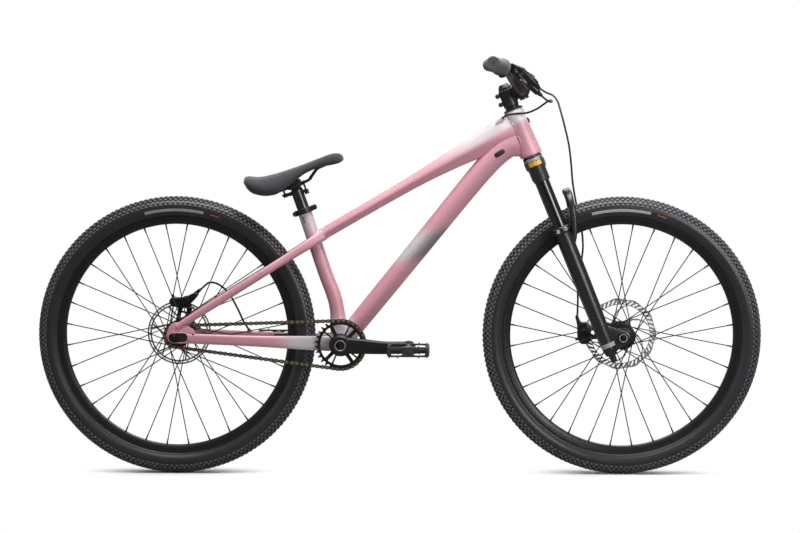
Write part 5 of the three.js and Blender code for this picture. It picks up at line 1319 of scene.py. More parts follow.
def socket_band(low, high, radius, start, end, steps=18):
    """A painted strip part way round the outer socket, from one height to another."""
    rings = []
    for k in range(steps + 1):
        turn = math.radians(start + (end - start) * k / steps)
        c, s = math.cos(turn), math.sin(turn)
        rings.append([
            Vector((r * c, r * s - leg_side, -t))
            for r, t in ((radius, low), (radius + 0.25, low + 0.2), (radius + 0.25, high - 0.2),
                         (radius, high))
        ])
    return skin(rings)


def stanchions():
    return joined(*[
        turned([(0, 60), (17, 60), (17, 350), (14, 350), (14, 330), (0, 330)], (0, side * leg_side, 0),
               (0, 0, -1), 64)
        for side in (-1, 1)
    ])


def lower_leg(side):
    """One leg with its seal collar, axle lug and foot nut, from the top down."""
    profile = rounded([
        (17.3, leg_top - 1.5), (18.4, leg_top - 2.2), (19.2, leg_top), (22.4, leg_top + 0.8),
        (22.9, leg_top + 3), (22.9, leg_top + 11.5), (21.6, leg_top + 13.5), (20.1, leg_top + 16),
        (20.1, 320), (19.4, 400), (17.9, 480), (17.0, 515), (14.2, leg_foot), (10.5, leg_foot + 1),
        (8.6, leg_foot + 1), (8.2, leg_foot + 14), (7.2, leg_foot + 19), (3.4, leg_foot + 20),
        (3.2, leg_foot + 16), (0, leg_foot + 16),
    ], 2.0, 3)
    leg = turned(profile, (0, side * leg_side, 0), (0, 0, -1), 56)
    low, high = (55.0, 69.0) if side > 0 else (-69.0, -55.0)
    fx, fz = fork_axle.x, fork_axle.z
    lug_edge = [(-8, -520), (-13, -495), (-10, -468), (3, -452), (20, -462), (fx + 6, fz + 17.6),
                (fx + 15, fz + 10), (fx + 18, fz), (fx + 14.5, fz - 11), (fx + 4, fz - 17.8),
                (fx - 12, fz - 18.4), (10, -527)]
    lug = plate([looped(lug_edge, 5)], low, high, 2.0)
    rim_profile = [(10.6, -0.1), (16.5, -0.1), (16.5, 1.8), (13.6, 2.4), (10.6, 2.4), (10.6, -0.1)]
    rim_place = Matrix.Translation((fx, high if side > 0 else low, fz))
    rim_place = rim_place @ Matrix.Rotation(0 if side > 0 else math.pi, 4, "Z")
    rim = placed(turned(rounded(rim_profile, 0.5), sides=48), rim_place)
    return joined(leg, lug, rim)


def fork_arch():
    """The brace between the legs: two ribs that rise forward, round the tyre, to a flat crest."""
    half = [
        (4, 66, 246, 9, 9), (21, 65.5, 222, 8.5, 9.5), (33, 64.5, 196, 8, 9.5), (41, 62, 168, 8, 9.5),
        (46, 56, 145, 8.5, 9), (48, 42, 126, 10, 8.5), (48, 22, 117, 11, 8), (47.5, 0, 115, 11, 7.5),
    ]
    rows = [*half, *[(x, -y, t, w, h) for x, y, t, w, h in half[-2::-1]]]
    return tube([(Vector((x, y, -t)), w, h) for x, y, t, w, h in rows], 5, 0.35, 2.8, (1, 0, 0), 24)


def leg_paint(name, dark, light, roughness):
    look, wire = start_look(name)
    fine = grain(wire, 800.0, 2.0)
    broad = grain(wire, 12.0, 3.0)
    return shaded(look, wire, {
        "Base Color": between(wire, fine * 0.5 + broad * 0.5, tone(*dark), tone(*light)),
        "Roughness": roughness + 0.08 * fine,
        "Coat Weight": 0.2,
        "Coat Roughness": 0.3,
        "Normal": raised(wire, fine, 0.1, 0.0001),
    })


crown_look = black_alloy("crown_black", (36, 35, 37), (54, 53, 56), 0.36, 0.4)
gloss_look = plain_steel("stanchion_black", (62, 60, 62), (72, 70, 72), 0.17, 0.95, 60.0)
lowers_look = leg_paint("fork_charcoal", (11, 11, 12), (22, 22, 24), 0.3)
pale_band_look = leg_paint("band_grey", (142, 142, 148), (170, 170, 176), 0.4)
yellow_band_look = leg_paint("band_yellow", (222, 168, 28), (240, 190, 52), 0.42)
steered("crown_forging", fork_crown(), crown_look, "steering", "black_alloy")
steered("fork_stanchions", stanchions(), gloss_look, "steering", "black_alloy", "fork_crown")
steered("crown_band_grey", socket_band(4.5, 12.5, 21.25, -150, -42), pale_band_look, "steering",
        "black_alloy")
yellow_starts = (-142, -108, -74)
yellow_blocks = joined(*[socket_band(13.5, 24.5, 21.0, start, start + 31, 6) for start in yellow_starts])
steered("crown_band_yellow", yellow_blocks, yellow_band_look, "steering", "black_alloy")
lowers = joined(lower_leg(-1), lower_leg(1), fork_arch())
steered("fork_lower_casting", lowers, lowers_look, "fork", "fork_paint", "fork_lowers", sharp=34)
front_posts = brake_posts(front_caliper_seat, 28.0)
steered("fork_brake_posts", front_posts, lowers_look, "fork", "fork_paint", sharp=35)
pale_bolt_look = plain_steel("pale_bolt_steel", (150, 150, 156), (200, 200, 206), 0.34, 0.4)
collar_bolts = [
    bolt((-10 + 20 * k, -leg_side - 20.0, -leg_top - 7.5), (0, -1, 0), 4.6, 2.6) for k in (0, 1)
]
foot_band = joined(*[
    turned([(16.6, 498), (18.3, 498.4), (18.0, 509), (16.6, 509.4), (16.6, 498)], (0, s * leg_side, 0),
           (0, 0, -1), 48)
    for s in (-1, 1)
])
steered("fork_collar_bolts", joined(*collar_bolts), pale_bolt_look, "fork", "dark_steel")
steered("fork_foot_bands", foot_band, pale_band_look, "fork", "fork_paint")
axle_black_look = black_alloy("axle_black", (14, 14, 15), (28, 28, 30), 0.34, 0.4)
axle_profile = rounded([
    (0, -73), (5.2, -73), (5.6, -69.4), (8.0, -69.2), (8.6, -73.0), (13.2, -73.0), (14, -72.2), (14, -69.3),
    (9.9, -69.2), (9.9, 70.4), (8.6, 71), (0, 71),
], 0.5, 2)
through_axle = placed(turned(axle_profile, sides=48), Matrix.Translation(fork_axle))
axle_ring = turned([(8.6, -73.9), (10.4, -73.9), (10.4, -72.6), (8.6, -72.6), (8.6, -73.9)], fork_axle,
                   sides=48,
                   closed=True)
steered("front_axle_ring", axle_ring, pale_bolt_look, "fork", "bare_alloy")
steered("front_through_axle", through_axle, axle_black_look, "fork", "dark_steel", "front_axle")


# Handlebar and grips
# A drawn aluminium bar, thick in the stem and bent up and back, with moulded rubber grips whose
# closed ends carry turned rings.
bar_half = 386.0
bar_rise = 85.0
bar_back = 45.0
bar_stations = [
    (0.09, 0, 0, 1), (0.15, 0.03, 0.02, 0.85), (0.22, 0.22, 0.1, 0.4), (0.3, 0.48, 0.18, 0.12),
    (0.38, 0.63, 0.25, 0), (0.47, 0.7, 0.31, 0), (1, 1, 1, 0),
]
grip_length = 132.0


def bar_place(out, up, back):
    return Vector((bar_seat.x - bar_back * back, -bar_half * out, bar_seat.z + bar_rise * up))


def bar_point(distance):
    """A point on the straight outer part of the right half, by its distance from the middle."""
    out = distance / bar_half
    share = (out - 0.47) / 0.53
    return bar_place(out, 0.7 + 0.3 * share, 0.31 + 0.69 * share)


def handlebar():
    half = [(bar_place(out, up, back), 11.1 + 4.8 * thick) for out, up, back, thick in bar_stations]
    other = [(Vector((place.x, -place.y, place.z)), size) for place, size in half[::-1]]
    return tube([(place, size, size) for place, size in (*other, *half)], steps=8, across=(1, 0, 0),
                sides=36)


def grip():
    start, end = bar_point(bar_half - grip_length), bar_point(bar_half)
    length = (end - start).length + 4.3
    profile = [
        (11.3, 0), (18.6, 0), (19.8, 0.8), (19.8, 3.4), (18.2, 4.6), (16.3, 6.0), (16.0, 9),
    ]
    for k in range(5):
        foot = 12 + 3.2 * k
        profile += [(16.0, foot), (15.3, foot + 0.5), (15.3, foot + 1.3), (16.0, foot + 1.8)]
    profile += [(16.0, 30), (15.8, 40), (16.1, 70), (15.8, 100), (15.9, length - 18)]
    for k in range(3):
        foot = length - 16 + 3.2 * k
        profile += [(16.0, foot), (15.4, foot + 0.5), (15.4, foot + 1.3), (16.0, foot + 1.8)]
    profile += [(16.2, length - 4)]
    rim = [(16.2, length - 1.6), (15.4, length - 0.4), (14.0, length), (12.6, length), (12.2, length - 1.0),
           (10.4, length - 1.0), (10.0, length - 0.1), (8.2, length - 0.1), (7.8, length - 1.4),
           (5.6, length - 1.4), (5.2, length - 0.4), (3.4, length - 0.4), (3.0, length - 2.4),
           (0, length - 2.4)]
    return turned([*profile, *rim], start, end - start, 56)


def rubber(name, dark, light, roughness, scale=320.0, strength=0.35):
    look, wire = start_look(name)
    cells = wire.node("ShaderNodeTexVoronoi", {}, {"Vector": place_of(wire), "Scale": scale})
    dust = grain(wire, 34.0, 3.0)
    return shaded(look, wire, {
        "Base Color": between(wire, dust, tone(*dark), tone(*light)),
        "Roughness": roughness,
        "Normal": raised(wire, cells, strength, 0.0004),
    })


grip_look = rubber("grip_rubber", (84, 83, 87), (112, 110, 115), 0.56)
bar_look = black_alloy("handlebar_black", (40, 37, 38), (64, 60, 62), 0.3, 0.5)
steered("handlebar_tube", handlebar(), bar_look, "steering", "black_alloy", "handlebar", sharp=40)
steered("grip_right_rubber", grip(), grip_look, "steering", "black_rubber", "grip_right")
steered("grip_left_rubber", flipped(grip()), grip_look, "steering", "black_rubber", "grip_left")


# Brake levers
# A cast master cylinder with its reservoir, clamp and bolts on each side of the bar, and a
# forged blade on a steel pin. The hose leaves the barrel through a compression nut.
lever_place = 226.0
barrel_start = Vector((14.0, 4.33, 10.0))
barrel_end = Vector((98.0, 26.0, 10.0))
barrel_run = (barrel_end - barrel_start).normalized()
pivot = Vector((44.0, -12.0, 10.0))


def lever_frame(slope):
    """A lever's directions: forward and down, inward along the bar, and up."""
    inward = (bar_point(bar_half / 2) - bar_point(bar_half)).normalized()
    angle = math.radians(slope) + head_tilt
    reach = Vector((math.cos(angle), 0, -math.sin(angle)))
    reach = (reach - inward * reach.dot(inward)).normalized()
    frame_of = Matrix((reach, inward, reach.cross(inward))).transposed().to_4x4()
    return Matrix.Translation(bar_point(lever_place)) @ frame_of


def on_barrel(share, height):
    return barrel_start.lerp(barrel_end, share) + Vector((0, 0, height))


def master():
    length = (barrel_end - barrel_start).length
    barrel = turned(rounded([
        (0, -3), (7.5, -3), (9.6, 2), (9.8, length * 0.5), (8.6, length - 10), (8.2, length - 3),
        (6.4, length), (6.0, length + 0.5), (5.2, length + 0.6), (5.2, length + 5.6), (4.2, length + 8.4),
        (0, length + 8.4),
    ], 1.2, 3), barrel_start, barrel_run, 40)
    shares = [(0.04, 4, 5), (0.12, 8, 8), (0.28, 11, 9.6), (0.5, 11.4, 9.8), (0.7, 10.2, 9.0),
              (0.84, 7.5, 7), (0.93, 3.5, 4)]
    tank = tube([(on_barrel(share, 9), width, high) for share, width, high in shares], steps=5, power=3.6)
    lid_shares = [(0.16, 4, 17.0), (0.24, 8.2, 18.3), (0.5, 9.4, 18.3), (0.72, 7.6, 18.3), (0.8, 4, 17.0)]
    lid = tube([(on_barrel(share, foot), width, 1.5) for share, width, foot in lid_shares], 5, power=4.0)
    ring = turned(rounded([(11.3, -6.5), (15.6, -6.5), (16.4, -5.6), (16.4, 5.6), (15.6, 6.5), (11.3, 6.5),
                           (11.3, -6.5)], 0.6), sides=48, closed=True)
    lug = plate([looped([(6, 19), (13, 21.5), (19, 19.5), (20, 13), (14, 9), (7, 12)])], -6.0, 6.0, 1.0)
    back_lug = plate([looped([(6, -20.5), (13, -20.5), (16, -15), (13, -10), (6, -12)])], -6.0, 6.0, 1.0)
    ear = looped([(34, -1), (36, -13), (40.5, -18), (47.5, -18), (52, -13), (56, 2), (46, 9)])
    ear = plate([ear], -1.5, 1.5, 0.5)
    lie = Matrix.Rotation(-math.pi / 2, 4, "X") @ Matrix.Scale(-1, 4, (0, 0, 1))
    ears = [placed(ear, Matrix.Translation((0, 0, height)) @ lie) for height in (3.4, 13.6)]
    return joined(barrel, tank, lid, ring, lug, back_lug, *ears)


def master_bolts():
    lid_bolts = [bolt(on_barrel(share, 19.2), UP, 2.2, 1.4) for share in (0.26, 0.7)]
    clamp_bolts = [bolt((16.5, y, 20.6), (0.4, 0, 1), 2.8, 1.8) for y in (-3.2, 3.2)]
    pin = turned([(0, -10.8), (3.6, -10.8), (3.8, -9.4), (2.5, -9.0), (2.5, 9.0), (3.8, 9.4), (3.6, 10.8),
                  (0, 10.8)], pivot, UP, 24)
    adjuster = turned(rounded([(0, 0), (3.6, 0), (3.6, 5), (2.4, 7), (0, 7)], 0.5), (30, -6, 10),
                      (0, -1, 0), 20)
    return joined(*lid_bolts, *clamp_bolts, pin, adjuster)


def blade():
    rows = [(43.5, -9.5, 6.4, 3.5), (47, -15, 6.6, 3.6), (57, -24, 6.0, 3.6), (68, -40, 5.2, 3.5),
            (72.2, -58, 4.8, 3.5), (71.6, -78, 4.4, 3.4), (68, -96, 4.2, 3.4), (67.4, -106, 4.4, 3.5),
            (69.5, -112.5, 4.0, 3.3), (71, -114.4, 1.6, 1.6)]
    body = tube([(Vector((x, y, 10)), width, height) for x, y, width, height in rows], steps=6,
                across=(1, 0, 0),
                power=2.6, sides=28)
    eye = turned(rounded([(2.6, -3.9), (6.4, -3.9), (6.4, 3.9), (2.6, 3.9), (2.6, -3.9)], 0.5), pivot, UP,
                 28, True)
    return joined(body, eye)


lever_look = black_alloy("lever_black", (18, 18, 19), (38, 38, 40), 0.32, 0.35)
for label, slope, turn_over in (("right", 43, lambda part: part), ("left", 33, flipped)):
    seat = lever_frame(slope)
    drawn = (master(), master_bolts(), blade())
    casting, bolts, lever = (turn_over(placed(part, seat)) for part in drawn)
    steered(f"brake_master_{label}_casting", casting, lever_look, "steering", "black_alloy",
            f"brake_master_{label}", sharp=32)
    steered(f"brake_master_{label}_bolts", bolts, steel_bolt_look, "steering", "dark_steel")
    steered(f"brake_lever_{label}_blade", lever, lever_look, f"lever_{label}", "black_alloy",
            f"brake_lever_{label}", sharp=34)


# Seatpost and its clamp
# A black aluminium post with a barrel head, two upright bolts and a forged rail clamp, held in
# the seat tube by a split collar.
saddle_place = seat_place @ Matrix.Translation((0, 0, 62)) @ Matrix.Rotation(math.radians(-0.5), 4, "Y")


def post_head():
    barrel = turned(rounded([(0, -14), (10.2, -14), (11, -13.2), (11, 13.2), (10.2, 14), (0, 14)], 0.6),
                    sides=48)
    yoke = plate([looped([(-39, -8.5), (-36, -11.5), (-18, -15.5), (14, -19), (26, -18.4), (28, -15),
                          (26, -12.6), (12, -10), (8, -4), (-8, -3), (-16, -6), (-36, -5.4)])], -8, 8, 1.2)
    return joined(barrel, yoke)


def post_bolts():
    head = rounded([(0, 0), (5.6, 0), (5.6, 5), (4.6, 6), (2.9, 6), (2.7, 3.4), (0, 3.4)], 0.4)
    made = []
    for x, foot in ((22, -18.4), (-31.5, -9.0)):
        made.append(rod((x, 0, foot - 3), (x, 0, 6), 2.6, 20))
        made.append(turned(head, (x, 0, foot), (0, 0, -1), 28))
        made.append(turned(rounded([(0, -6), (4.2, -6), (4.2, 6), (0, 6)], 0.8), (x, 0, 6.4), sides=28))
    return joined(*made)


post = joined(rod((0, 0, -112), (0, 0, 56), 15.2, 64),
              turned([(15.2, 50), (15.2, 56), (12, 61), (0, 61)], axis=UP, sides=64))
post_look = plain_steel("seatpost_black", (66, 66, 69), (80, 80, 83), 0.27, 0.9, 90.0)
piece("seatpost_tube", placed(post, seat_place), post_look, "seatpost", "black_alloy", "seatpost")
piece("seatpost_head", placed(post_head(), saddle_place), cockpit_look, "seatpost", "black_alloy", sharp=32)
piece("seatpost_bolts", placed(post_bolts(), saddle_place), steel_bolt_look, "seatpost", "dark_steel",
      sharp=32)


def collar():
    band = turned(rounded([(17.6, -6.5), (20.8, -6.5), (21.5, -5.6), (21.5, 5.6), (20.8, 6.5), (17.6, 6.5),
                           (17.6, -6.5)], 0.7), axis=UP, sides=64, closed=True)
    ear = looped([(-17, -6.2), (-26, -5.8), (-29, -3), (-29, 3), (-26, 5.8), (-17, 6.2)])
    ears = [plate([ear], low, high, 0.9) for low, high in ((-9.2, -1.6), (1.6, 9.2))]
    lip = plate([[(12, -6.2), (31, -5.4), (33.4, -3), (33.4, 4.4), (31, 7), (12, 6.4)]], -9, 9, 1.6)
    return joined(band, *ears, lip)


def collar_bolt():
    head = rounded([(0, 0), (4.5, 0), (4.5, 3.4), (3.8, 4.0), (2.3, 4.0), (2.2, 2.2), (0, 2.2)], 0.3)
    head = turned(head, (-24.8, -9.4, 0), (0, -1, 0), 24)
    nut = turned(rounded([(0, 0), (4.5, 0), (4.5, 3.6), (0, 3.6)], 0.3), (-24.8, 9.4, 0), (0, 1, 0), 6)
    return joined(head, nut, rod((-24.8, -9.4, 0), (-24.8, 9.4, 0), 2.9, 20))


piece("seat_collar_band", placed(collar(), seat_place), cockpit_look, "frame", "black_alloy", "seat_clamp",
      sharp=32)
piece("seat_collar_bolt", placed(collar_bolt(), seat_place), steel_bolt_look, "frame", "dark_steel",
      "seat_clamp_bolt", sharp=32)


def rail_clamp():
    top = plate([looped([(-14.6, 13), (-14, 17.6), (0, 19), (14, 17.6), (14.6, 13), (11, 11.8),
                         (-11, 11.8)])],
                -27.5, 27.5, 1.0)
    cheek = looped([(-15.5, -0.6), (-16, 8), (-14, 16), (14, 16), (16, 8), (15.5, -0.6)])
    cheeks = [plate([cheek], low, high, 1.0) for low, high in ((-28, -16.2), (16.2, 28))]
    return joined(top, *cheeks)


piece("saddle_clamp_forging", placed(rail_clamp(), saddle_place), cockpit_look, "saddle", "black_alloy",
      "saddle_clamp", sharp=32)


# Saddle
# A slim foam saddle with a dark textile cover pulled round a plastic shell, on two steel rails
# that run together under its nose.
saddle_length = 247.0
saddle_back = 116.0
saddle_half = 66.0
saddle_crown = 51.0
rail_stations = [
    (1.2, -0.78, 5.5), (1.1, -0.57, 1.9), (1, -0.38, 1), (1, 0.26, 1), (0.97, 0.4, 2.2), (0.9, 0.56, 4.2),
    (0.72, 0.72, 5.2), (0.4, 0.86, 5.6), (0, 0.92, 5.6),
]
saddle_stations = [
    (0, 0.42, 1.0, 1.16), (0.02, 0.72, 0.72, 1.3), (0.05, 0.87, 0.5, 1.32), (0.09, 0.95, 0.34, 1.24),
    (0.14, 1, 0.2, 1.13), (0.2, 0.985, 0.09, 1.05), (0.28, 0.92, 0.03, 1), (0.36, 0.8, 0.11, 0.97),
    (0.48, 0.62, 0.3, 0.95), (0.6, 0.48, 0.48, 0.94), (0.7, 0.4, 0.53, 0.95), (0.79, 0.36, 0.53, 0.96),
    (0.88, 0.35, 0.45, 0.97), (0.95, 0.34, 0.41, 0.94), (0.99, 0.28, 0.42, 0.87), (1.015, 0.18, 0.47, 0.77),
    (1.025, 0.06, 0.55, 0.67),
]
saddle_side = [(0, 1), (0.42, 0.975), (0.74, 0.87), (0.93, 0.66), (1, 0.4), (0.97, 0.14), (0.88, 0.0)]


def saddle_rails():
    half = [Vector((saddle_back * along, 22 * side, 6 * up)) for side, along, up in rail_stations]
    whole = [*half, *[Vector((p.x, -p.y, p.z)) for p in half[-2::-1]]]
    return swept(line_through(whole, 8), circle(3.5, 18), across=(0, 0, 1))


def saddle_ring(along, wide, low, high):
    half = saddle_half * wide
    floor = saddle_crown * low
    rise = saddle_crown * (high - low)
    arch = min(rise * 0.4, half * 0.5)
    edge = [(half * out, floor + rise * up) for out, up in saddle_side]
    edge += [(half * 0.7, floor + arch * 0.35), (half * 0.45, floor + arch * 0.8), (0, floor + arch)]
    outline = [*edge, *[(-y, z) for y, z in edge[-2:0:-1]]]
    return [Vector((saddle_length * along - saddle_back, y, z)) for y, z in looped(outline, 4)]


def saddle_cushion():
    stations = line_through([Vector(station[:3]) for station in saddle_stations], 4)
    heights = line_through([Vector((station[0], station[3], 0)) for station in saddle_stations], 4)
    return skin([saddle_ring(s.x, s.y, s.z, h.y) for s, h in zip(stations, heights)])


def saddle_textile():
    look, wire = start_look("saddle_textile")
    weave = grain(wire, 1400.0, 2.0)
    threads = wire.node("ShaderNodeTexWave", {"wave_type": "BANDS", "bands_direction": "DIAGONAL"},
                        {"Vector": place_of(wire), "Scale": 260.0, "Distortion": 1.2})
    broad = grain(wire, 14.0, 3.0)
    return shaded(look, wire, {
        "Base Color": between(wire, weave * 0.5 + broad * 0.5, tone(33, 34, 39), tone(52, 53, 59)),
        "Roughness": 0.86,
        "Sheen Weight": 0.35,
        "Sheen Roughness": 0.5,
        "Normal": raised(wire, weave * 0.6 + threads * 0.4, 0.35, 0.0004),
    })


cushion = piece("saddle_cushion_cover", placed(saddle_cushion(), saddle_place), saddle_textile(), "saddle",
                "saddle_fabric", "saddle", sharp=60)
rail_look = plain_steel("rail_black", (22, 22, 23), (42, 42, 44), 0.34, 0.6)
piece("saddle_rails_steel", placed(saddle_rails(), saddle_place), rail_look, "saddle", "dark_steel",
      "saddle_rails", sharp=40)
shell_tab = tube([
    (Vector((66, 0, 25.5)), 20, 2.6), (Vector((92, 0, 27.5)), 17, 3.2), (Vector((112, 0, 26.5)), 15, 3.0),
    (Vector((122, 0, 26.5)), 9, 2.0),
], power=3.0)
piece("saddle_shell_nose", placed(shell_tab, saddle_place), plastic_look, "saddle", "black_plastic",
      sharp=40)


# Bottom bracket and cranks
# Splined cups screwed into the frame, a hollow alloy spindle, and two forged arms with a wide
# bevel along their outer edges, black anodised.
crank_place = Matrix.Translation(bracket) @ Matrix.Rotation(math.radians(1), 4, "Y")
half_turn = Matrix.Rotation(math.pi, 4, "Z")
crank_length = 170.0
crank_stations = [
    (-4, 62.7, 0, 10.4, 19.5), (20, 63.4, -0.3, 9.8, 19.6), (41, 64.8, -0.9, 8.8, 19.0),
    (65, 67.5, -1.4, 8.2, 17.9), (110, 72.7, -2.6, 7.2, 15.8), (150, 76.3, -1.2, 7.6, 15.2),
    (172, 77, 0, 8, 15.2),
]


def arm_section(thick, high):
    bevel = 4.4
    return [
        (-thick, bevel - high), (bevel * 0.8 - thick, -high), (thick - 2, -high), (thick, 2 - high),
        (thick, high - 2), (thick - 2, high), (bevel * 0.8 - thick, high), (-thick, high - bevel),
    ]


def crank_arm():
    line = line_through([(x, -out, up) for x, out, up, thick, high in crank_stations], 8)
    sizes = line_through([(thick, high, 0) for x, out, up, thick, high in crank_stations], 8)
    body = swept(line, [arm_section(size.x, size.y) for size in sizes], across=(0, 1, 0))
    boss_profile = [(12.4, -50.4), (25, -50.4), (26.4, -52), (26.4, -69.2), (21.6, -75), (17, -75.2),
                    (16.4, -74), (12.4, -74)]
    hub = turned([*rounded(boss_profile, 0.8), boss_profile[0]], sides=72, closed=True)
    end_profile = [(7.2, -69), (15.5, -69), (16.5, -70), (16.5, -82.6), (14, -85), (7.2, -85)]
    end = turned([*rounded(end_profile, 0.8), end_profile[0]], (crank_length, 0, 0), sides=56, closed=True)
    return joined(body, hub, end)


def cup(side):
    spline = []
    for k in range(16):
        for share, radius in ((0, 21.2), (0.42, 21.2), (0.5, 19.8), (0.92, 19.8)):
            spline.append(polar(radius, math.tau * (k + share) / 16))
    low, high = sorted((side * 35.2, side * 41.6))
    ring = plate([spline, circle(12.8, 48)], low, high, 0.4)
    profile = [(12.8, 34.6), (21.4, 34.6), (21.4, 36), (19, 36), (19, 42.4), (17.6, 43.2), (14.6, 43.2),
               (13.6, 42.2), (12.8, 42.2)]
    face = turned([*rounded([(r, d * side) for r, d in profile], 0.3), (12.8, 34.6 * side)], sides=56,
                  closed=True)
    return joined(ring, face)


def spindle_end(side):
    profile = [(10.6, 60), (12.2, 60), (12.2, 73.6), (14.2, 73.8), (14.8, 74.6), (14.2, 76), (12.6, 76.3),
               (11.4, 76.1), (10.6, 75.2)]
    return turned([*rounded([(r, d * side) for r, d in profile], 0.4), (10.6, 60 * side)], sides=56,
                  closed=True)


crank_look = black_alloy("crank_black", (16, 16, 17), (26, 26, 28), 0.44, 0.3)
spindle_look = plain_steel("spindle_alloy", (104, 104, 107), (140, 140, 143), 0.36, 0.6, 500.0)
ring_place = Matrix.Translation(bracket)
for label, side in (("right", -1), ("left", 1)):
    piece(f"bb_cup_{label}_splined", placed(cup(side), ring_place), cockpit_look, "frame", "black_alloy",
          f"bb_cup_{label}")
spindle = joined(spindle_end(-1), spindle_end(1),
                 turned([(10.6, -72), (12, -72), (12, 72), (10.6, 72), (10.6, -72)],
                 sides=48, closed=True))
piece("crank_spindle_tube", placed(spindle, crank_place), spindle_look, "cranks", "bare_alloy",
      "crank_spindle", sharp=34)
piece("crank_arm_right_forging", placed(crank_arm(), crank_place), crank_look, "cranks", "black_alloy",
      "crank_arm_right", bevel=0.7)
piece("crank_arm_left_forging", placed(crank_arm(), crank_place @ half_turn), crank_look, "cranks",
      "black_alloy", "crank_arm_left", bevel=0.7)


# Chainring and cog
# A machined thirty-tooth ring on four broad and four fine arms, and a thirteen-tooth cog held
# on the rear hub by its lock ring.
chain_line = -48.0
link_pitch = 12.7
ring_teeth = 30
cog_teeth = 13
ring_radius = link_pitch / 2 / math.sin(math.pi / ring_teeth)
cog_radius = link_pitch / 2 / math.sin(math.pi / cog_teeth)
broad_arms = (44, 117, 225, 304)
fine_arms = (65, 141, 246, 322)
ring_arms = sorted([(turn, 4.6) for turn in broad_arms] + [(turn, 2.1) for turn in fine_arms])


def toothed(count, radius, first, tip):
    """The outline of a sprocket whose first tooth stands at an angle in degrees."""
    shape = [(-6.3, -3.95), (-4.6, -3.5), (-3.2, -2.2), (-2.3, 0), (-1.6, tip * 0.55), (-0.7, tip)]
    shape += [(-aside, out) for aside, out in shape[:0:-1]]
    outline = []
    for k in range(count):
        turn = math.radians(first) + math.tau * k / count
        outline += [polar(radius + out, turn + aside / radius) for aside, out in shape]
    return outline


def arm_windows(arms, inner, outer):
    """The openings left between straight arms given by angle and half width."""
    openings = []
    for (start, width), (end, next_width) in zip(arms, [*arms[1:], (arms[0][0] + 360, arms[0][1])]):
        edge = []
        for radius, back in ((inner, True), (outer, False)):
            low = math.radians(start) + math.asin(width / radius)
            high = math.radians(end) - math.asin(next_width / radius)
            ease = min(0.12 * (high - low), 1.6 / radius)
            run = arc(radius, low + ease, high - ease, 12)
            step = ease if radius == inner else -ease
            corners = [polar(radius + step * radius * 0.8, low), polar(radius + step * radius * 0.8, high)]
            whole = [corners[0], *run, corners[1]]
            edge += whole[::-1] if back else whole
        openings.append(edge)
    return openings


def chainring():
    body = plate([toothed(ring_teeth, ring_radius, 5, 4.5), circle(22, 64),
                  *arm_windows(ring_arms, 28.5, 50.5)],
                 chain_line - 1.2, chain_line + 1.2, 0.35)
    lip = plate([circle(55.2, 120), circle(50.8, 120)], chain_line - 1.7, chain_line + 1.7, 0.3)
    hub = plate([circle(28.6, 72), circle(13, 48)], chain_line - 2.0, chain_line + 1.4, 0.5)
    return joined(body, lip, hub)


def cog():
    body = plate([toothed(cog_teeth, cog_radius, 0, 3.2), circle(17.6, 48)], chain_line - 0.95,
                 chain_line + 0.95, 0.25)
    holder = turned(rounded([(17.7, -45.8), (19.8, -45.8), (19.8, -55.2), (18.6, -56), (15.4, -56),
                             (15.0, -54.6), (9.0, -54.6), (9.0, -53)], 0.3), sides=56)
    lobes = plate([
        [polar(19.4 if k % 4 < 2 else 17.2, math.tau * (k + 0.5) / 64) for k in range(64)], circle(11, 32),
    ], -55.8, -52, 0.2)
    return joined(body, holder, lobes)


sprocket_look = black_alloy("chainring_black", (18, 17, 17), (34, 32, 31), 0.4, 0.4)
piece("chainring_plate", placed(chainring(), ring_place), sprocket_look, "cranks", "black_alloy",
      "chainring")
piece("rear_cog_plate", placed(cog(), Matrix.Translation(rear_axle)),
      plain_steel("cog_steel", (44, 42, 40), (74, 71, 68)), "rear_cog", "dark_steel", "rear_cog")


# Chain
# Eighty-six half-inch links of browned steel: pressed inner plates round their rollers, and
# outer plates riveted over the pins.
top_links = 33
bottom_links = 32


def rollers():
    """The middles of the rollers, clockwise from the top of the chainring."""
    ring_middle = Vector((bracket.x, chain_line, bracket.z))
    cog_middle = Vector((rear_axle.x, chain_line, rear_axle.z))
    places = []
    for k in range(16):
        x, z = polar(ring_radius, math.radians(83 - 12 * k))
        places.append(ring_middle + Vector((x, 0, z)))
    round_cog = []
    for k in range(7):
        x, z = polar(cog_radius, math.radians(180 - 83.08 + 360 / cog_teeth * k))
        round_cog.append(cog_middle + Vector((x, 0, z)))
    places += [places[-1].lerp(round_cog[-1], k / bottom_links) for k in range(1, bottom_links)]
    places += round_cog[::-1]
    return [*places, *[round_cog[0].lerp(places[0], k / top_links) for k in range(1, top_links)]]


def link_plate(radius, waist, near, far):
    turns = [math.radians(-104 + 20.8 * k) for k in range(11)]
    ends = [(link_pitch + radius * math.cos(turn), radius * math.sin(turn)) for turn in turns]
    start = [(link_pitch - x, -z) for x, z in ends]
    outline = [*ends, (link_pitch / 2, waist), *start, (link_pitch / 2, -waist)]
    return joined(plate([outline], near, far, 0.15), plate([outline], -far, -near, 0.15))


def along_chain(part, first):
    """A link's part at every second link."""
    places = rollers()
    parts = []
    for k in range(first, len(places), 2):
        here = places[k]
        ahead = (places[(k + 1) % len(places)] - here).normalized()
        basis = Matrix((ahead, Vector((0, 1, 0)), ahead.cross(Vector((0, 1, 0))))).transposed().to_4x4()
        parts.append(placed(part, Matrix.Translation(here) @ basis))
    return joined(*parts)


def pins(radius, end, dome):
    profile = [(0, -end - dome), (radius * 0.6, -end - dome), (radius, -end), (radius, end),
               (radius * 0.6, end + dome), (0, end + dome)]
    return joined(*[turned(profile, (x, 0, 0), sides=16) for x in (0, link_pitch)])


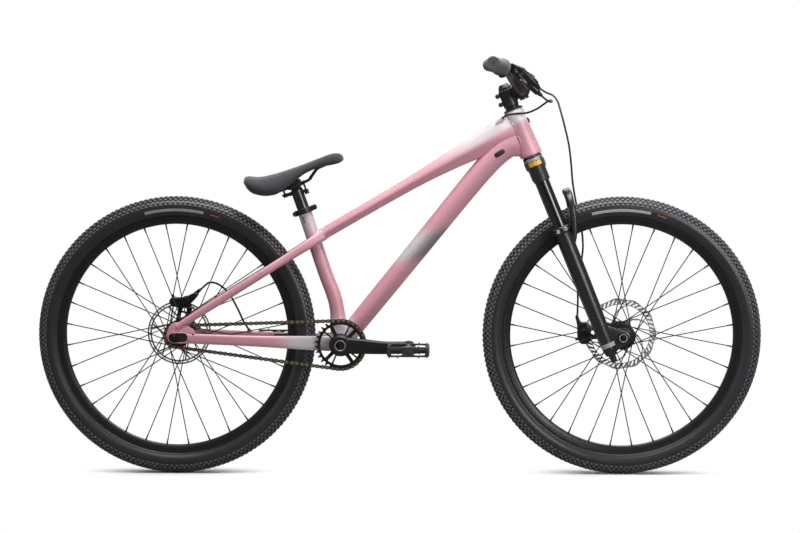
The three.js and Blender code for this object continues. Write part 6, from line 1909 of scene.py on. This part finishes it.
def browned_steel(name, dark, light, roughness):
    look, wire = start_look(name)
    spots = grain(wire, 900.0, 2.0)
    oil = grain(wire, 60.0, 2.0)
    return shaded(look, wire, {
        "Base Color": between(wire, spots * 0.4 + oil * 0.6, tone(*dark), tone(*light)),
        "Roughness": roughness,
        "Metallic": 0.55,
        "Normal": raised(wire, spots, 0.2, 0.0002),
    })


# One browned steel in three copies: the outer plates lighter as a painted highlight, the inner plates
# darker as painted shade between the outer plates, and the pins lightest as a painted glint on their heads.
outer_plate_highlight_look = browned_steel("chain_outer_brown_painted_highlight", (70, 62, 54), (104, 94, 80), 0.4)
inner_plate_shade_look = browned_steel("chain_inner_brown_painted_shade", (40, 36, 33), (72, 64, 56), 0.42)
pin_head_highlight_look = browned_steel("chain_pin_brown_painted_highlight", (132, 122, 106), (168, 155, 136), 0.38)
piece("chain_outer_plates", along_chain(link_plate(4.75, 3.1, 2.7, 3.6), 1), outer_plate_highlight_look, "frame",
      "dark_steel", "chain")
inner_links = joined(link_plate(4.6, 2.9, 1.7, 2.6), pins(3.9, 1.6, 0.05))
piece("chain_inner_plates", along_chain(inner_links, 0), inner_plate_shade_look, "frame", "dark_steel")
piece("chain_pins", along_chain(pins(2.1, 3.7, 0.25), 1), pin_head_highlight_look, "frame", "dark_steel")


# Rear axle
# A solid threaded axle with a flanged hexagon nut and a toothed washer outside each dropout.
def axle_nut(side):
    hexagon = [(5.2, 76.6), (10.6, 76.6), (10.8, 77.2), (10.8, 82.4), (9.4, 83.8), (5.2, 83.8)]
    part = turned([*[(r, d * side) for r, d in hexagon], (5.2, 76.6 * side)], sides=6, closed=True)
    teeth = [polar(11.4 if k % 2 else 10.9, math.tau * k / 72) for k in range(72)]
    low, high = sorted((side * 74.8, side * 76.9))
    return joined(part, plate([teeth, circle(5.2, 32)], low, high, 0.3))


def threaded_axle():
    profile = [(0, -86), (4.4, -86), (5.0, -85.4)]
    for k in range(10):
        profile += [(5.0, -85 + k), (4.6, -84.5 + k)]
    for k in range(10):
        profile += [(4.6, 75 + k), (5.0, 75.5 + k)]
    return turned([*profile, (5.0, 85.4), (4.4, 86), (0, 86)], sides=32)


for label, side in (("right", -1), ("left", 1)):
    piece(f"rear_nut_{label}", placed(axle_nut(side), Matrix.Translation(rear_axle)), axle_black_look,
          "frame", "dark_steel", f"rear_axle_nut_{label}", sharp=28)
piece("rear_axle_thread", placed(threaded_axle(), Matrix.Translation(rear_axle)), axle_black_look, "frame",
      "dark_steel", "rear_axle", sharp=28)


# Pedals
# Moulded nylon flat pedals on steel axles: an open platform with a barrel through its middle,
# windows in its ends and screwed grip pins on both faces.
def pedal_axle():
    profile = [(0, -187), (6, -187), (6, -99.7), (9, -99.7), (9, -96), (8.2, -95), (8.2, -90), (9, -89),
               (9, -85.3), (7, -85.3), (7, -70.5), (0, -70.5)]
    return turned(rounded(profile, 0.5, 2), sides=40)


def pedal():
    windows = [looped([(16, -7.4), (38, -7.6), (42.6, -4.6), (42.6, 4.6), (38, 7.6), (16, 7.4), (13.5, 0)],
                      3)]
    windows.append([(-x, z) for x, z in windows[0]])
    end = [(-51, -4), (-46, -12.2), (46, -12.2), (51, -4), (51, 4), (46, 12.2), (-46, 12.2), (-51, 4)]
    ends = [plate([end, *windows], low, high, 0.8) for low, high in ((-195, -188), (-107, -100))]
    rails = []
    for side in (-1, 1):
        shape = [(40, -189), (44, -194), (47.5, -190), (50, -181), (48.6, -165), (48.6, -130), (50, -114),
                 (47.5, -105), (44, -101), (40, -106), (43, -120), (43.4, -147.5), (43, -175)]
        rail = plate([[(x * side * 1.03, z) for x, z in shape]], -11.8, 11.8, 1.0)
        rails.append(placed(rail, Matrix.Rotation(-math.pi / 2, 4, "X")))
    barrel = turned(rounded([(0, -195.5), (7.6, -195.5), (9.4, -194), (10.8, -186), (10.2, -170),
                             (10.2, -125), (10.8, -109), (10.8, -100), (6.6, -100), (6.6, -103),
                             (0, -103)], 0.7),
                    sides=48)
    rib = [(-44, -3), (-12, -7.4), (12, -7.4), (44, -3), (44, 3), (12, 7.4), (-12, 7.4), (-44, 3)]
    ribs = [plate([rib], place - 2.0, place + 2.0, 0.6) for place in (-168, -147.5, -127)]
    return joined(*ends, *rails, barrel, *ribs)


def pedal_pins():
    spots = [(side * 46, place) for side in (-1, 1) for place in (-184, -166, -147.5, -129, -111)]
    spots += [(side * 26, place) for side in (-1, 1) for place in (-191.5, -103.5)]
    screw = [(0, -1), (2.6, -1), (2.6, 0.9), (1.7, 1.1), (1.7, 3.2), (1.3, 3.6), (0, 3.6)]
    return joined(*[
        turned(screw, (x, y, face * 11.4), (0, 0, face), 12) for x, y in spots for face in (-1, 1)
    ])


# The pedal's lighter mottle is partly wear and partly a painted highlight on its faces.
pedal_look = rubber("pedal_nylon", (30, 30, 32), (60, 60, 63), 0.42, 900.0, 0.15)
pin_steel_look = plain_steel("pedal_pin_steel", (58, 58, 60), (104, 104, 108), 0.32, 0.8)
for label, place, turn in (("right", (25.974, 0, 323.533), Matrix()),
                           ("left", (-313.974, 0, 329.467), half_turn)):
    seat = Matrix.Translation(place) @ turn
    piece(f"pedal_axle_{label}_steel", placed(pedal_axle(), seat), steel_bolt_look, "cranks", "dark_steel",
          f"pedal_axle_{label}")
    piece(f"pedal_{label}_platform", placed(pedal(), seat), pedal_look, f"pedal_{label}", "black_plastic",
          f"pedal_{label}")
    piece(f"pedal_{label}_pins", placed(pedal_pins(), seat), pin_steel_look, f"pedal_{label}", "dark_steel")
